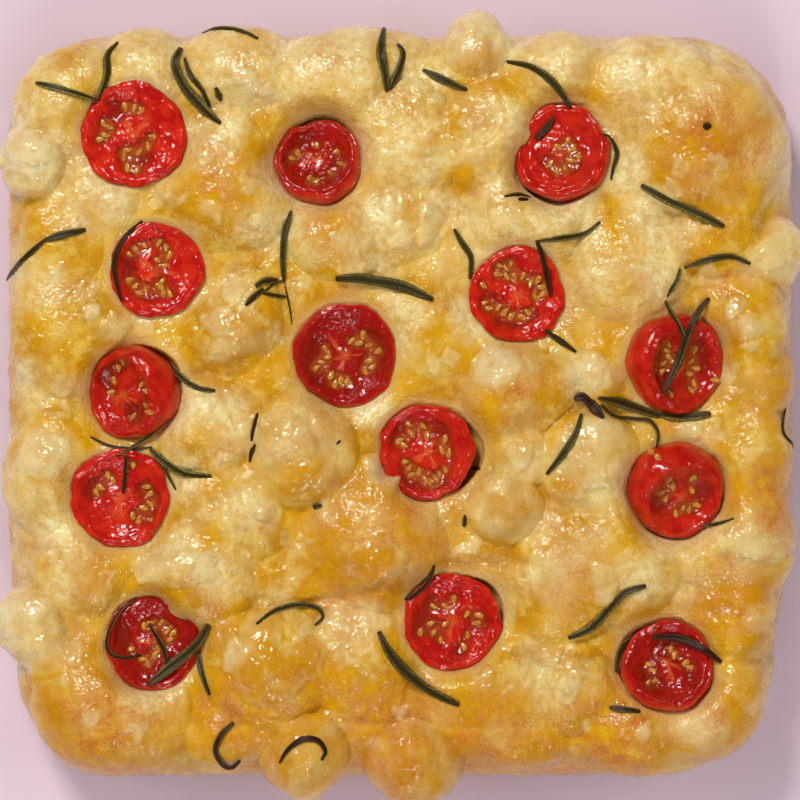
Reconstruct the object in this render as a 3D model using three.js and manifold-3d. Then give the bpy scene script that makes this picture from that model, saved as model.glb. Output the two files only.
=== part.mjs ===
// A square slab of focaccia with halved cherry tomatoes and rosemary.
//
// The bread is one solid. It has a flat base, a rounded shoulder, blistered lobes that press
// against each other, and a pocket under each tomato. Every tomato half is a solid of its own
// that sits in its pocket with a thin gap. Rosemary needles are baked onto what they lie on, so
// they are joined to the bread or to a tomato.
//
// Millimetres, +Z up, origin at the centre of the base, +Y towards the back of the slab.
import * as THREE from "three";
import { mergeVertices } from "three/addons/utils/BufferGeometryUtils.js";
import Module from "manifold-3d";

const wasm = await Module();
wasm.setup();
const { clamp, degToRad, lerp, smoothstep } = THREE.MathUtils;

// ---------------------------------------------------------------- driving dimensions

// The slab without its lobes: an outline at the widest height, and a profile from rim to base.
const HALF_WIDTH = 99.3;
const HALF_DEPTH = 93.7;
const DRAWN_IN = { left: 2, right: 4.5 }; // how much narrower each half is at the front
const CORNERS = { backLeft: 25, backRight: 29, frontLeft: 28, frontRight: 30 };
const CROWN = 31.5; // height of the bread between lobes, in the middle
const CROWN_FALL = 2.5; // how much lower that is at the shoulder
const WIDEST = 14; // height at which the sides are widest
const SHOULDER = 13; // how far in from the outline the top begins to round down
const TUCK = 2.6; // how far the sides draw in towards the base
const FOOT = 2.4; // radius of the edge of the base

// How finely the skin of the bread is divided.
const CELLS = 36; // along each side of the top
const SHOULDER_RINGS = 4;
const SIDE_RINGS = 2;

const LOBE_BLEND = 4; // higher keeps a sharper crease where two lobes meet
const LOBE_FULLNESS = 0.8; // 0.5 is half an ellipsoid, 1 a paraboloid
const BLISTER_FULLNESS = 0.55;

const POCKET_SLOPE = 7; // width of the bread's slope down to a tomato
const MOUTH_FLARE = 6.5; // a pocket's mouth widens by this much ...
const MOUTH_HEIGHT = 17; // ... over this height
const GAP = 0.35; // between a tomato and its pocket

const TOMATO_SIDES = 16;
const TOMATO_DEPTH = 0.78; // of its radius, below its widest ring
const CHAMBER_DEPTH = 0.13; // of its radius, where the seeds sit

const NEEDLE_SIDES = 4;
const NEEDLE_STEPS = 4;
const NEEDLE_THICKNESS = 0.62; // of its width
const NEEDLE_SINK = 0.25; // share of its thickness that lies in the crust; its ends dive by as much

// Lobes of dough: x, y of the middle, radius, rise.
const LOBES = [
  // back left
  [-85, 79, 15.5, 4.5], [-63.8, 89.5, 11.5, 3.5], [-73.8, 52.8, 9.5, 2.5], [-43.8, 55.3, 17.5, 6.5],
  [-40.5, 86.5, 14.5, 5], [-16.3, 82.8, 15.5, 5.5], [2.5, 66.5, 15, 4.5], [-15.8, 43.5, 11.5, 5.5],
  [-8, 89.5, 13, 4],
  [-85, 19, 18, 4.2], [-87, 39.5, 12, 3], [-41.3, 20.3, 12.5, 5], [0, 47.8, 12.5, 3.5],
  // back right
  [22.5, 66.5, 14.5, 5], [38.8, 85.3, 12.5, 5], [62.5, 81.5, 16, 5], [77.5, 65.3, 20, 7.5],
  [32.5, 47.8, 14, 5], [57.5, 35.3, 15, 5], [80, 42.8, 12.5, 4.5], [86.3, 20.3, 12, 4.5],
  [28.8, 4.5, 14.5, 7], [50, 9, 9.5, 3.5], [93, 7.8, 10, 3.5], [7.5, 19, 11, 2.5],
  // front left
  [-48.3, -5.5, 13.5, 5.5], [-88.8, -17.3, 15, 5], [-88.8, -64, 8, 3], [-80, -39.8, 14, 4],
  [-52.5, -42.3, 15, 6], [-42.5, -27.3, 14, 5], [-6.3, -32.3, 18.5, 7], [-72.5, -76.5, 20, 6.5],
  [-33, -64.8, 17, 7], [-11.3, -64.8, 15, 5], [-42.5, -83.5, 11, 3.5],
  // front right
  [52.5, -36, 20, 6], [87, -33.5, 17, 5.5], [88.8, -12.3, 12.5, 4.5], [22.5, -73.5, 17, 4.5],
  [43.8, -71, 11.5, 4.5], [40, -46, 15, 4], [60, -82.5, 14, 5], [86, -54.8, 13, 4.5],
  [80, -75.5, 15.5, 5], [30, -83.5, 12, 4],
];

// Blisters, rounder and thinner skinned than the lobes: x, y, radius, rise.
const BLISTERS = [
  [-93, 61.5, 9.5, 5.2], [19.3, 90.5, 9.5, 7], [-25, -11, 14.5, 6.8], [95, 38.5, 9.5, 5],
  [-93.5, -55.5, 10.5, 6], [-23.8, -88, 11.5, 9], [3.3, -90, 12.5, 9], [26.3, -25.5, 9.5, 5],
  [30.5, -12.3, 8, 3.6], [48, -14.8, 13.5, 6], [-33.8, -26.5, 5, 3],
];

// Tomato halves: x, y, height of the widest ring, its radius, the direction that the cut face
// leans to and how far, the angle from the bottom round to the cut (90 is an exact half), how
// much the cut slants the same way, seed chambers, and the angle of the first chamber. All angles
// are in degrees.
const TOMATOES = [
  [-66.5, 67.8, 30.5, 13.2, 200, 3, 98, 0, 3, 60],
  [-20.3, 61, 26.5, 10.9, 110, 11, 110, 12, 3, 20],
  [40.8, 63.3, 28.5, 12.3, 140, 14, 108, 4, 2, 0],
  [-61, 34, 30, 11.9, 0, 2, 98, 0, 2, 95],
  [29.3, 27.8, 30, 12, 0, 2, 98, 0, 2, 70],
  [-13.8, 12.8, 29, 12.9, 270, 4, 98, 0, 3, 50],
  [68.8, 10.8, 28.5, 12.6, 350, 12, 115, 21, 2, 10],
  [-66.5, 3.3, 28.5, 11.8, 190, 15, 118, 24, 3, 130],
  [6.8, -11.5, 28.5, 12, 180, 6, 102, 0, 2, 95],
  [69, -20.8, 28, 12.3, 305, 12, 122, 18, 2, 120],
  [-70, -22.8, 29.5, 12.4, 260, 3, 98, 0, 3, 0],
  [13, -54, 29, 12.2, 0, 1, 96, 0, 2, 150],
  [-62, -59.3, 28, 11.9, 60, 5, 98, 0, 2, 40],
  [67, -65.3, 28, 11.6, 90, 7, 110, 8, 3, 90],
];

// Lobes that swell over the edge of a tomato: its number, x, y, radius, height of the middle.
const OVERHANGS = [
  [3, 28.5, 70, 7, 28], [9, -6, -18, 6, 28.3], [13, -51, -48.5, 8, 27],
];

// Rosemary needles on the bread: x, y of one end, x, y of the other, bow to the left, width.
const NEEDLES = [
  [-90.8, 80.5, -77, 76.5, 0, 1.7], [-71.8, 91, -75.5, 78.5, 0.3, 1.6], [-55, 89.3, -45, 70.8, -2.5, 2.4],
  [-4.3, 94.8, -3.5, 78.8, -0.6, 1.7], [0.5, 90, -2.3, 79.5, 0.5, 1.6], [6, 84, 16.8, 79.5, 0, 1.6],
  [27.5, 86, 41.5, 76.5, 2.2, 1.7], [60.3, 54.8, 80.5, 45, 0, 2], [40, 17.5, 46, 13, 0.5, 1.5],
  [-78, 44.3, -88.8, 41.3, 0, 1.7], [-27.8, 48.5, -29, 32, -0.6, 1.5],
  [-38.3, 25, -30, 31.8, -0.8, 1.8], [-15.8, 32, 8, 26.3, 1.3, 2.5],
  [-54, 8.5, -46.3, 3.8, -0.9, 1.5], [44, 2.3, 50.8, -3.5, 0.5, 2.2], [49.5, 2, 64, -2.8, 0, 2.1],
  [64.5, -3.9, 77.8, -3.5, 0, 2.2], [45.3, -2.3, 36.8, -17, 1.1, 1.6],
  [-56.5, -13, -47.3, -17.5, -0.8, 2], [-5.3, -58.5, 12.5, -74.3, -2, 2.2],
  [-41.8, -76, -40.3, -84.5, -4, 1.6], [43, -57.8, 60.8, -44.8, 0, 2.2],
  [54.5, -56.5, 53.5, -66.3, -0.6, 1.5], [52.5, -77.8, 60, -78.5, 0, 1.7],
  [-48.4, -61, -47, -71.8, 0, 1.8], [75, 69.3, 77.6, 69.3, 0, 1.6],
];

// Needles on a tomato: its number in the list above, counted from 1, then as for the others.
const TOMATO_NEEDLES = [
  [3, 36, 64.5, 38.3, 70, 0, 1.6], [4, -67.5, 41.5, -69, 28.5, -1.5, 1.4],
  [5, 34.6, 35, 37.4, 27.7, 0.6, 1.6], [7, 71.5, 19.5, 65.8, 3, 0, 2.1],
  [11, -69, -14.5, -69.3, -21.5, 0, 1.2], [13, -70, -54, -65.5, -63.7, -2.6, 1.3],
  [13, -55.5, -61, -62.5, -68, 0.8, 2.3], [14, 63.8, -59, 74, -61.1, 1, 2],
];

const LOOKS = {
  crust: { color: 0xdba94e, roughness: 0.5, metalness: 0 },
  tomato: { color: 0xb8231a, roughness: 0.25, metalness: 0 },
};

// ---------------------------------------------------------------- the slab without lobes

function cornerRadius(x, y) {
  if (y > 0) return x < 0 ? CORNERS.backLeft : CORNERS.backRight;
  return x < 0 ? CORNERS.frontLeft : CORNERS.frontRight;
}

// The middle of the arc, or the foot on the straight, that an outline point is measured from.
function outlineCentre(x, y, radius) {
  const drawnIn = (x > 0 ? DRAWN_IN.right : DRAWN_IN.left) * smoothstep(-y, 30, 65);
  const reachX = HALF_WIDTH - drawnIn - radius;
  const reachY = HALF_DEPTH - radius;
  return new THREE.Vector2(clamp(x, -reachX, reachX), clamp(y, -reachY, reachY));
}

// How far a point of the plan lies inside the outline.
function insetAt(x, y) {
  const radius = cornerRadius(x, y);
  return radius - outlineCentre(x, y, radius).distanceTo(new THREE.Vector2(x, y));
}

// Height of the top where it isn't rounded down: it falls with the square of the distance.
function crownHeight(x, y) {
  return CROWN - CROWN_FALL * Math.max((x / HALF_WIDTH) ** 2, (y / HALF_DEPTH) ** 2);
}

// Height of the slab over a point of the plan: the shoulder is a quarter of an ellipse.
function slabHeight(x, y) {
  const out = clamp(1 - insetAt(x, y) / SHOULDER, 0, 1);
  return WIDEST + (crownHeight(x, y) - WIDEST) * Math.sqrt(1 - out * out);
}

// A point of the top for s, t in -1..1. A square grid is pressed into the rounded outline, the
// more the nearer it is to the edge.
function topPoint(s, t) {
  const reachX = HALF_WIDTH - SHOULDER;
  const reachY = HALF_DEPTH - SHOULDER;
  const ring = Math.max(Math.abs(s), Math.abs(t), 1e-9);
  const edge = outlinePoint(s / ring, t / ring).inner;
  const press = ring ** 4;
  const x = lerp(s * reachX, edge.x * ring, press);
  const y = lerp(t * reachY, edge.y * ring, press);
  return new THREE.Vector3(x, y, crownHeight(x, y));
}

// For a point s, t on the rim of the square -1..1: the shoulder's inner edge and its direction out.
function outlinePoint(s, t) {
  const radius = cornerRadius(s, t);
  const corner = new THREE.Vector2(s * (HALF_WIDTH - SHOULDER), t * (HALF_DEPTH - SHOULDER));
  const centre = outlineCentre(corner.x, corner.y, radius);
  const out = corner.clone().sub(centre).normalize();
  return { inner: centre.addScaledVector(out, radius - SHOULDER), out };
}

// The profile outside the top, from the shoulder down to the base: distance out from the
// shoulder's inner edge, and height as a share of the way from WIDEST to the crown or as it is.
function profile() {
  const steps = [];
  for (let k = 1; k <= SHOULDER_RINGS; k++) {
    const angle = ((k / SHOULDER_RINGS) * Math.PI) / 2;
    steps.push({ out: SHOULDER * Math.sin(angle), share: Math.cos(angle), height: WIDEST });
  }
  for (let k = 1; k <= SIDE_RINGS; k++) {
    const down = k / SIDE_RINGS;
    steps.push({ out: SHOULDER - TUCK * down ** 2, share: 0, height: lerp(WIDEST, FOOT, down) });
  }
  steps.push({ out: SHOULDER - TUCK - FOOT, share: 0, height: 0 });
  return steps;
}

// The rim of the square grid as s, t pairs, once round, anticlockwise.
function gridRim() {
  const at = (k) => -1 + (2 * k) / CELLS;
  const rim = [];
  for (let k = 0; k < CELLS; k++) rim.push([at(k), -1]);
  for (let k = 0; k < CELLS; k++) rim.push([1, at(k)]);
  for (let k = CELLS; k > 0; k--) rim.push([at(k), 1]);
  for (let k = CELLS; k > 0; k--) rim.push([-1, at(k)]);
  return rim;
}

// The closed skin: a grid on top, rings down the shoulder and side, and a fan for the base.
function slabGeometry() {
  const points = [];
  const faces = [];
  const quad = (a, b, c, d) => faces.push(a, b, c, a, c, d);
  const row = CELLS + 1;
  for (let j = 0; j <= CELLS; j++)
    for (let i = 0; i <= CELLS; i++) points.push(topPoint(-1 + (2 * i) / CELLS, -1 + (2 * j) / CELLS));
  for (let j = 0; j < CELLS; j++)
    for (let i = 0; i < CELLS; i++) {
      const a = j * row + i;
      quad(a, a + 1, a + row + 1, a + row);
    }
  const rim = gridRim();
  const index = (k) => Math.round((k + 1) * (CELLS / 2));
  let above = rim.map(([s, t]) => index(t) * row + index(s));
  for (const { out, share, height } of profile()) {
    const ring = rim.map(([s, t]) => {
      const edge = outlinePoint(s, t);
      const { x, y } = edge.inner.clone().addScaledVector(edge.out, out);
      const crown = crownHeight(edge.inner.x, edge.inner.y);
      return points.push(new THREE.Vector3(x, y, height + (crown - WIDEST) * share)) - 1;
    });
    ring.forEach((below, k) => {
      const next = (k + 1) % ring.length;
      quad(above[k], below, ring[next], above[next]);
    });
    above = ring;
  }
  const middle = points.push(new THREE.Vector3(0, 0, 0)) - 1;
  above.forEach((corner, k) => faces.push(corner, middle, above[(k + 1) % above.length]));
  return new THREE.BufferGeometry().setFromPoints(points).setIndex(faces);
}

// ---------------------------------------------------------------- lobes and pockets

const swelling = (rows, fullness) =>
  rows.map(([x, y, radius, rise]) => ({
    middle: new THREE.Vector3(x, y, slabHeight(x, y)), radius, rise, fullness,
  }));
const swellings = [...swelling(LOBES, LOBE_FULLNESS), ...swelling(BLISTERS, BLISTER_FULLNESS)];

// How far the skin rises at a point of the slab: a soft maximum of the domes that reach it.
function rise(point) {
  let sum = 0;
  for (const { middle, radius, rise: height, fullness } of swellings) {
    const within = 1 - point.distanceToSquared(middle) / radius ** 2;
    if (within > 0) sum += (height * within ** fullness) ** LOBE_BLEND;
  }
  return sum ** (1 / LOBE_BLEND);
}

// Height of a tomato's leaning widest ring over a point of the plan.
function ringHeight(tomato, x, y) {
  const towards = (x - tomato.x) * Math.cos(tomato.leanTo) + (y - tomato.y) * Math.sin(tomato.leanTo);
  return tomato.z - towards * Math.tan(tomato.lean);
}

// The bread slopes down to the widest ring of each tomato.
function intoPockets(point) {
  for (const tomato of tomatoes) {
    const distance = Math.hypot(point.x - tomato.x, point.y - tomato.y);
    const away = smoothstep(distance, tomato.radius, tomato.radius + POCKET_SLOPE);
    if (away < 1) point.z = lerp(ringHeight(tomato, point.x, point.y) + 0.4, point.z, away);
  }
}

function breadGeometry() {
  const geometry = slabGeometry();
  geometry.computeVertexNormals();
  const { position, normal } = geometry.attributes;
  const point = new THREE.Vector3();
  const outwards = new THREE.Vector3();
  for (let k = 0; k < position.count; k++) {
    point.fromBufferAttribute(position, k);
    if (point.z <= 0) continue;
    outwards.fromBufferAttribute(normal, k);
    // Lobes die out at the base, which stays flat.
    point.addScaledVector(outwards, rise(point) * smoothstep(point.z, 0, WIDEST));
    intoPockets(point);
    position.setXYZ(k, point.x, point.y, point.z);
  }
  return geometry;
}

// ---------------------------------------------------------------- tomatoes

const tomatoes = TOMATOES.map(([x, y, z, radius, leanTo, lean, cut, slant, chambers, first]) => ({
  x, y, z, radius, chambers,
  leanTo: degToRad(leanTo), lean: degToRad(lean), cut: degToRad(cut), slant: degToRad(slant),
  first: degToRad(first),
}));

// Rows of the cut face, from the rim in: how far out towards the rim, how far up as a share of
// the radius, and the share of a seed chamber's depth.
const FACE = [[0.94, 0.06, 0], [0.84, 0.02, 0], [0.52, -0.04, 1], [0, -0.02, 0]];

// A closed skin of columns of points that run from the bottom round to the top, set round the
// stem line, which stands along Z.
function fromColumns(columnAt) {
  const points = [];
  const faces = [];
  for (let side = 0; side <= TOMATO_SIDES; side++) {
    const column = columnAt(((side % TOMATO_SIDES) / TOMATO_SIDES) * 2 * Math.PI);
    points.push(...column);
    for (let row = 1; side > 0 && row < column.length; row++) {
      const after = side * column.length + row;
      const before = after - column.length;
      faces.push(before - 1, after - 1, before, after - 1, after, before);
    }
  }
  return new THREE.BufferGeometry().setFromPoints(points).setIndex(faces);
}

// A point of the skin about the middle of the widest ring, at a direction round the stem line and
// an angle from the bottom, grown by some amount. The skin puckers as it dries.
function skinPoint(tomato, angle, polar, grown) {
  const pucker = 1 + 0.02 * Math.sin(3 * angle + tomato.x) + 0.012 * Math.sin(7 * angle + tomato.y);
  const out = (tomato.radius + grown) * Math.sin(polar) * pucker;
  const deep = tomato.radius * TOMATO_DEPTH + grown;
  return new THREE.Vector3(out * Math.cos(angle), out * Math.sin(angle), -deep * Math.cos(polar));
}

// The angle from the bottom at which the cut meets the skin, at a direction round the stem line.
const cutAt = ({ cut, slant, leanTo }, angle) => cut - slant * Math.cos(angle - leanTo);

// The skin from the bottom round to the cut, or to an angle where that comes first.
function skinColumn(tomato, angle, grown, upTo = Math.PI) {
  const cut = cutAt(tomato, angle);
  return [0, 0.45, 0.78, 1].map((share) => skinPoint(tomato, angle, Math.min(cut * share, upTo), grown));
}

// A tomato half: its seed chambers sink into the cut face, which slants where the skin goes
// further round on one side.
function tomatoGeometry(tomato, grown = 0) {
  const { radius, leanTo, chambers, first } = tomato;
  const rimAt = (angle) => skinPoint(tomato, angle, cutAt(tomato, angle), grown);
  const middle = rimAt(leanTo).lerp(rimAt(leanTo + Math.PI), 0.5);
  return fromColumns((angle) => {
    const sunk = CHAMBER_DEPTH * (0.5 + 0.5 * Math.cos(chambers * (angle - first)));
    const across = FACE.map(([out, up, chamber]) => {
      const height = radius * (up - sunk * chamber) + grown;
      return middle.clone().lerp(rimAt(angle), out).add(new THREE.Vector3(0, 0, height));
    });
    return [...skinColumn(tomato, angle, grown), ...across];
  });
}

// The room that a tomato needs in the bread: its skin with a gap, and a mouth that widens upwards.
function roomGeometry(tomato) {
  const reach = tomato.radius + MOUTH_FLARE;
  const top = new THREE.Vector3(0, 0, MOUTH_HEIGHT);
  return fromColumns((angle) => {
    const mouth = new THREE.Vector3(reach * Math.cos(angle), reach * Math.sin(angle), MOUTH_HEIGHT);
    return [...skinColumn(tomato, angle, GAP, Math.PI / 2), mouth, top];
  });
}

// Turns and moves an object so that a tomato's widest ring lies where it belongs.
function settle(object, tomato) {
  const axis = new THREE.Vector3(-Math.sin(tomato.leanTo), Math.cos(tomato.leanTo), 0);
  object.position.set(tomato.x, tomato.y, tomato.z);
  object.quaternion.setFromAxisAngle(axis, tomato.lean);
  object.updateMatrix();
  return object;
}

// ---------------------------------------------------------------- rosemary

// A needle along an arc that follows the surface below it: a ball of few sides, drawn out.
function needleGeometry([x0, y0, x1, y1, bow, width], heightAt) {
  const from = new THREE.Vector2(x0, y0);
  const chord = new THREE.Vector2(x1, y1).sub(from);
  const length = chord.length();
  const along = chord.clone().divideScalar(length);
  const left = new THREE.Vector2(-along.y, along.x);
  const geometry = new THREE.SphereGeometry(1, NEEDLE_SIDES, NEEDLE_STEPS);
  const { position } = geometry.attributes;
  for (let k = 0; k < position.count; k++) {
    const share = (1 - position.getY(k)) / 2;
    const belly = Math.hypot(position.getX(k), position.getZ(k));
    const arch = bow * 4 * share * (1 - share);
    const middle = from.clone().addScaledVector(along, share * length).addScaledVector(left, arch);
    const side = (position.getX(k) * width) / 2;
    const thick = width * NEEDLE_THICKNESS;
    const up = (position.getZ(k) * thick) / 2 + thick * (belly / 2 - NEEDLE_SINK);
    const { x, y } = middle.clone().addScaledVector(left, side);
    position.setXYZ(k, x, y, heightAt(middle.x, middle.y) + up);
  }
  return geometry;
}

// Height of a mesh's upper surface over a point of the plan.
function surfaceOf(mesh) {
  const ray = new THREE.Raycaster();
  const down = new THREE.Vector3(0, 0, -1);
  mesh.updateMatrixWorld();
  return (x, y) => {
    ray.set(new THREE.Vector3(x, y, 100), down);
    const [hit] = ray.intersectObject(mesh);
    return hit ? hit.point.z : WIDEST;
  };
}

// ---------------------------------------------------------------- solids

function toSolid(geometry, matrix = new THREE.Matrix4()) {
  const bare = geometry.clone().applyMatrix4(matrix);
  bare.deleteAttribute("normal");
  if (bare.attributes.uv) bare.deleteAttribute("uv");
  const merged = mergeVertices(bare, 1e-3);
  // Points that merged leave faces with no area, which a closed solid can't hold.
  const triVerts = [];
  for (let k = 0; k < merged.index.count; k += 3) {
    const [a, b, c] = merged.index.array.slice(k, k + 3);
    if (a !== b && b !== c && c !== a) triVerts.push(a, b, c);
  }
  const solid = new wasm.Manifold(new wasm.Mesh({
    numProp: 3, vertProperties: merged.attributes.position.array, triVerts: new Uint32Array(triVerts),
  }));
  return solid;
}

function toGeometry(solid) {
  const { vertProperties, triVerts } = solid.getMesh();
  return new THREE.BufferGeometry()
    .setAttribute("position", new THREE.BufferAttribute(vertProperties, 3))
    .setIndex(new THREE.BufferAttribute(triVerts, 1));
}

// Joining leaves some points almost together, which merge on the way through a geometry.
const join = (solid, added) => toSolid(toGeometry(solid.add(added)));

function lookOf(slot) {
  return new THREE.MeshStandardMaterial({ name: slot, ...LOOKS[slot] });
}

// Half a tomato in its place, with any needles that lie on it.
function tomatoMesh(tomato, number) {
  const bare = settle(new THREE.Mesh(tomatoGeometry(tomato)), tomato);
  const heightAt = surfaceOf(bare);
  let solid = toSolid(bare.geometry, bare.matrix);
  for (const [on, ...needle] of TOMATO_NEEDLES)
    if (on === number) solid = join(solid, toSolid(needleGeometry(needle, heightAt)));
  const mesh = new THREE.Mesh(toGeometry(solid), lookOf("tomato"));
  mesh.name = `tomato_${String(number).padStart(2, "0")}`;
  return mesh;
}

// The bread with a pocket for each tomato, the blisters that lean over them, and the needles.
function breadMesh() {
  let solid = toSolid(breadGeometry());
  const holder = new THREE.Object3D();
  for (const tomato of tomatoes)
    solid = solid.subtract(toSolid(roomGeometry(tomato), settle(holder, tomato).matrix));
  for (const [number, x, y, radius, z] of OVERHANGS) {
    const blister = new THREE.SphereGeometry(radius, 12, 8).rotateX(Math.PI / 2).translate(x, y, z);
    const tomato = tomatoes[number - 1];
    const below = toSolid(tomatoGeometry(tomato, GAP), settle(holder, tomato).matrix);
    solid = join(solid, toSolid(blister).subtract(below));
  }
  const heightAt = surfaceOf(new THREE.Mesh(toGeometry(solid)));
  for (const needle of NEEDLES) solid = join(solid, toSolid(needleGeometry(needle, heightAt)));
  const mesh = new THREE.Mesh(toGeometry(solid), lookOf("crust"));
  mesh.name = "bread";
  return mesh;
}

const focaccia = new THREE.Group();
focaccia.add(breadMesh());
tomatoes.forEach((tomato, k) => focaccia.add(tomatoMesh(tomato, k + 1)));

export default focaccia;
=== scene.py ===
"""Dresses a packed slab of focaccia: its blistered crust, wet tomato halves, seeds and rosemary.

Lengths are in millimetres and become metres where a mesh is made. Every shape is a function on a
grid of two parameters, worked out as whole arrays. Small things have their places on a plan ruled
every quarter of a millimetre, counted to the right and to the front from its back left corner.
"""

import math

import bpy
import numpy as np
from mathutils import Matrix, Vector
from mathutils.bvhtree import BVHTree


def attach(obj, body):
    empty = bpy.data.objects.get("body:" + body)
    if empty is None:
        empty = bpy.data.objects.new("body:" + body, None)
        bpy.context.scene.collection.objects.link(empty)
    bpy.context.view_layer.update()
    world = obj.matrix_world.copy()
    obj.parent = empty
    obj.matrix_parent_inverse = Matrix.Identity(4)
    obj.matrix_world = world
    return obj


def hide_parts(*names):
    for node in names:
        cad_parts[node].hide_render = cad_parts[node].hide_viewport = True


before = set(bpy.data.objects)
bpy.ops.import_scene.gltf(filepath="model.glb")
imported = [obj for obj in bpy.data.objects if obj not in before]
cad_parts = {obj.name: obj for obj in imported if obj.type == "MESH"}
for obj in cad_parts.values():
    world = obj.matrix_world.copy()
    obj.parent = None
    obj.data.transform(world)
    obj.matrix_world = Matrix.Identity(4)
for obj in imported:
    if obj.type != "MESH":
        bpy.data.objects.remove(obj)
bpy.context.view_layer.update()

MM = 0.001
TURN = 2 * np.pi
RULE = 0.25  # spacing of the plan's rules
ABOVE_ALL = 0.1  # metres, higher than anything here
PLAN_CORNER = (-100, 101.5)  # where the plan's back left corner lies


def from_plan(across, down):
    """The place of a point that was read off the plan."""
    return PLAN_CORNER[0] + across * RULE, PLAN_CORNER[1] - down * RULE


# ---------------------------------------------------------------- the slab

# The sizes down to FOOT, both fullnesses, LOBES and BLISTERS are those of the solid. LOBE_BLEND
# is 4 there, and its OVERHANGS are balls of dough, where these are bulges of the crust.
HALF_WIDTH = 99.3
HALF_DEPTH = 93.7
DRAWN_IN = {"left": 2, "right": 4.5}  # how much narrower each half is at the front
CORNERS = {"back_left": 25, "back_right": 29, "front_left": 28, "front_right": 30}
CROWN = 31.5  # height between lobes, in the middle
CROWN_FALL = 2.5  # how much lower that is at the shoulder
WIDEST = 14  # height at which the sides are widest
SHOULDER = 13  # how far in from the outline the top begins to round down
TUCK = 2.6  # how far the sides draw in towards the base
FOOT = 2.4  # radius of the edge of the base

CELLS = 440  # along each side of the top
SHOULDER_RINGS = 30
SIDE_RINGS = 10
FOOT_RINGS = 3

LOBE_BLEND = 4.5  # power of the soft maximum that joins lobes
LOBE_FULLNESS = 0.8  # power of a dome's share, lower for fuller domes
BLISTER_FULLNESS = 0.55
LOBE_WANDER = (1.0, 20)  # how far the edges of lobes wander, and over what length
BLISTER_WANDER = 0.4  # of that, for blisters

# Lobes of dough: x, y of the middle, radius, rise.
LOBES = [
    # back left
    (-85, 79, 15.5, 4.5), (-63.8, 89.5, 11.5, 3.5), (-73.8, 52.8, 9.5, 2.5), (-43.8, 55.3, 17.5, 6.5),
    (-40.5, 86.5, 14.5, 5), (-16.3, 82.8, 15.5, 5.5), (2.5, 66.5, 15, 4.5), (-15.8, 43.5, 11.5, 5.5),
    (-8, 89.5, 13, 4), (-85, 19, 18, 4.2), (-87, 39.5, 12, 3), (-41.3, 20.3, 12.5, 5),
    (0, 47.8, 12.5, 3.5),
    # back right
    (22.5, 66.5, 14.5, 5), (38.8, 85.3, 12.5, 5), (62.5, 81.5, 16, 5), (77.5, 65.3, 20, 7.5),
    (32.5, 47.8, 14, 5), (57.5, 35.3, 15, 5), (80, 42.8, 12.5, 4.5), (86.3, 20.3, 12, 4.5),
    (28.8, 4.5, 14.5, 7), (50, 9, 9.5, 3.5), (93, 7.8, 10, 3.5), (7.5, 19, 11, 2.5),
    # front left
    (-48.3, -5.5, 13.5, 5.5), (-88.8, -17.3, 15, 5), (-88.8, -64, 8, 3), (-80, -39.8, 14, 4),
    (-52.5, -42.3, 15, 6), (-42.5, -27.3, 14, 5), (-6.3, -32.3, 18.5, 7), (-72.5, -76.5, 20, 6.5),
    (-33, -64.8, 17, 7), (-11.3, -64.8, 15, 5), (-42.5, -83.5, 11, 3.5),
    # front right
    (52.5, -36, 20, 6), (87, -33.5, 17, 5.5), (88.8, -12.3, 12.5, 4.5), (22.5, -73.5, 17, 4.5),
    (43.8, -71, 11.5, 4.5), (40, -46, 15, 4), (60, -82.5, 14, 5), (86, -54.8, 13, 4.5),
    (80, -75.5, 15.5, 5), (30, -83.5, 12, 4),
]

# Blisters, rounder and thinner skinned than the lobes: x, y, radius, rise.
BLISTERS = [
    (-93, 61.5, 9.5, 5.2), (19.3, 90.5, 9.5, 7), (-25, -11, 14.5, 6.8), (95, 38.5, 9.5, 5),
    (-93.5, -55.5, 10.5, 6), (-23.8, -88, 11.5, 9), (3.3, -90, 12.5, 9), (26.3, -25.5, 9.5, 5),
    (30.5, -12.3, 8, 3.6), (48, -14.8, 13.5, 6), (-33.8, -26.5, 5, 3),
]

# Where dough swells over the edge of a tomato: its number, the direction, how far in the dough
# reaches, and the width of the bulge in radians.
OVERHANGS = [(3, 157, 2.0, 0.45), (9, 222, 1.9, 0.17), (13, 50, 2.3, 0.42)]

# ---------------------------------------------------------------- detail of the crust

TEXTURE = [(0.1, 7), (0.07, 3), (0.045, 1.7)]  # height and length of the crust's fine ripples
GLOW = 0.8  # share of the light that goes into the crust
JOINT_FADE = (0.3, 1.6)  # how far from a joint of two pieces that begins, and is full

FILM_RISE = 0.85  # of a film's rise, beside what its ridges add
FILM_FULLNESS = 0.7
FILM_RIDGE = 0.25  # height of a film's long ridges
FILM_WRINKLE = 0.2  # height of the short ones
BUBBLE_RISE = 0.6  # of a small bubble's rise
STRAY_BUBBLES = 170  # at random places
BLISTER_FILM = 0.6  # how much a whole blister's skin is a film
FRONT_BLISTERS = -70  # y of where the blisters at the front begin
SKIN_GOLD = {"front": 0.9, "elsewhere": 0.1}  # how golden the skins of blisters are
CREASE_WIDTH = 1.6  # to either side

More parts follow.
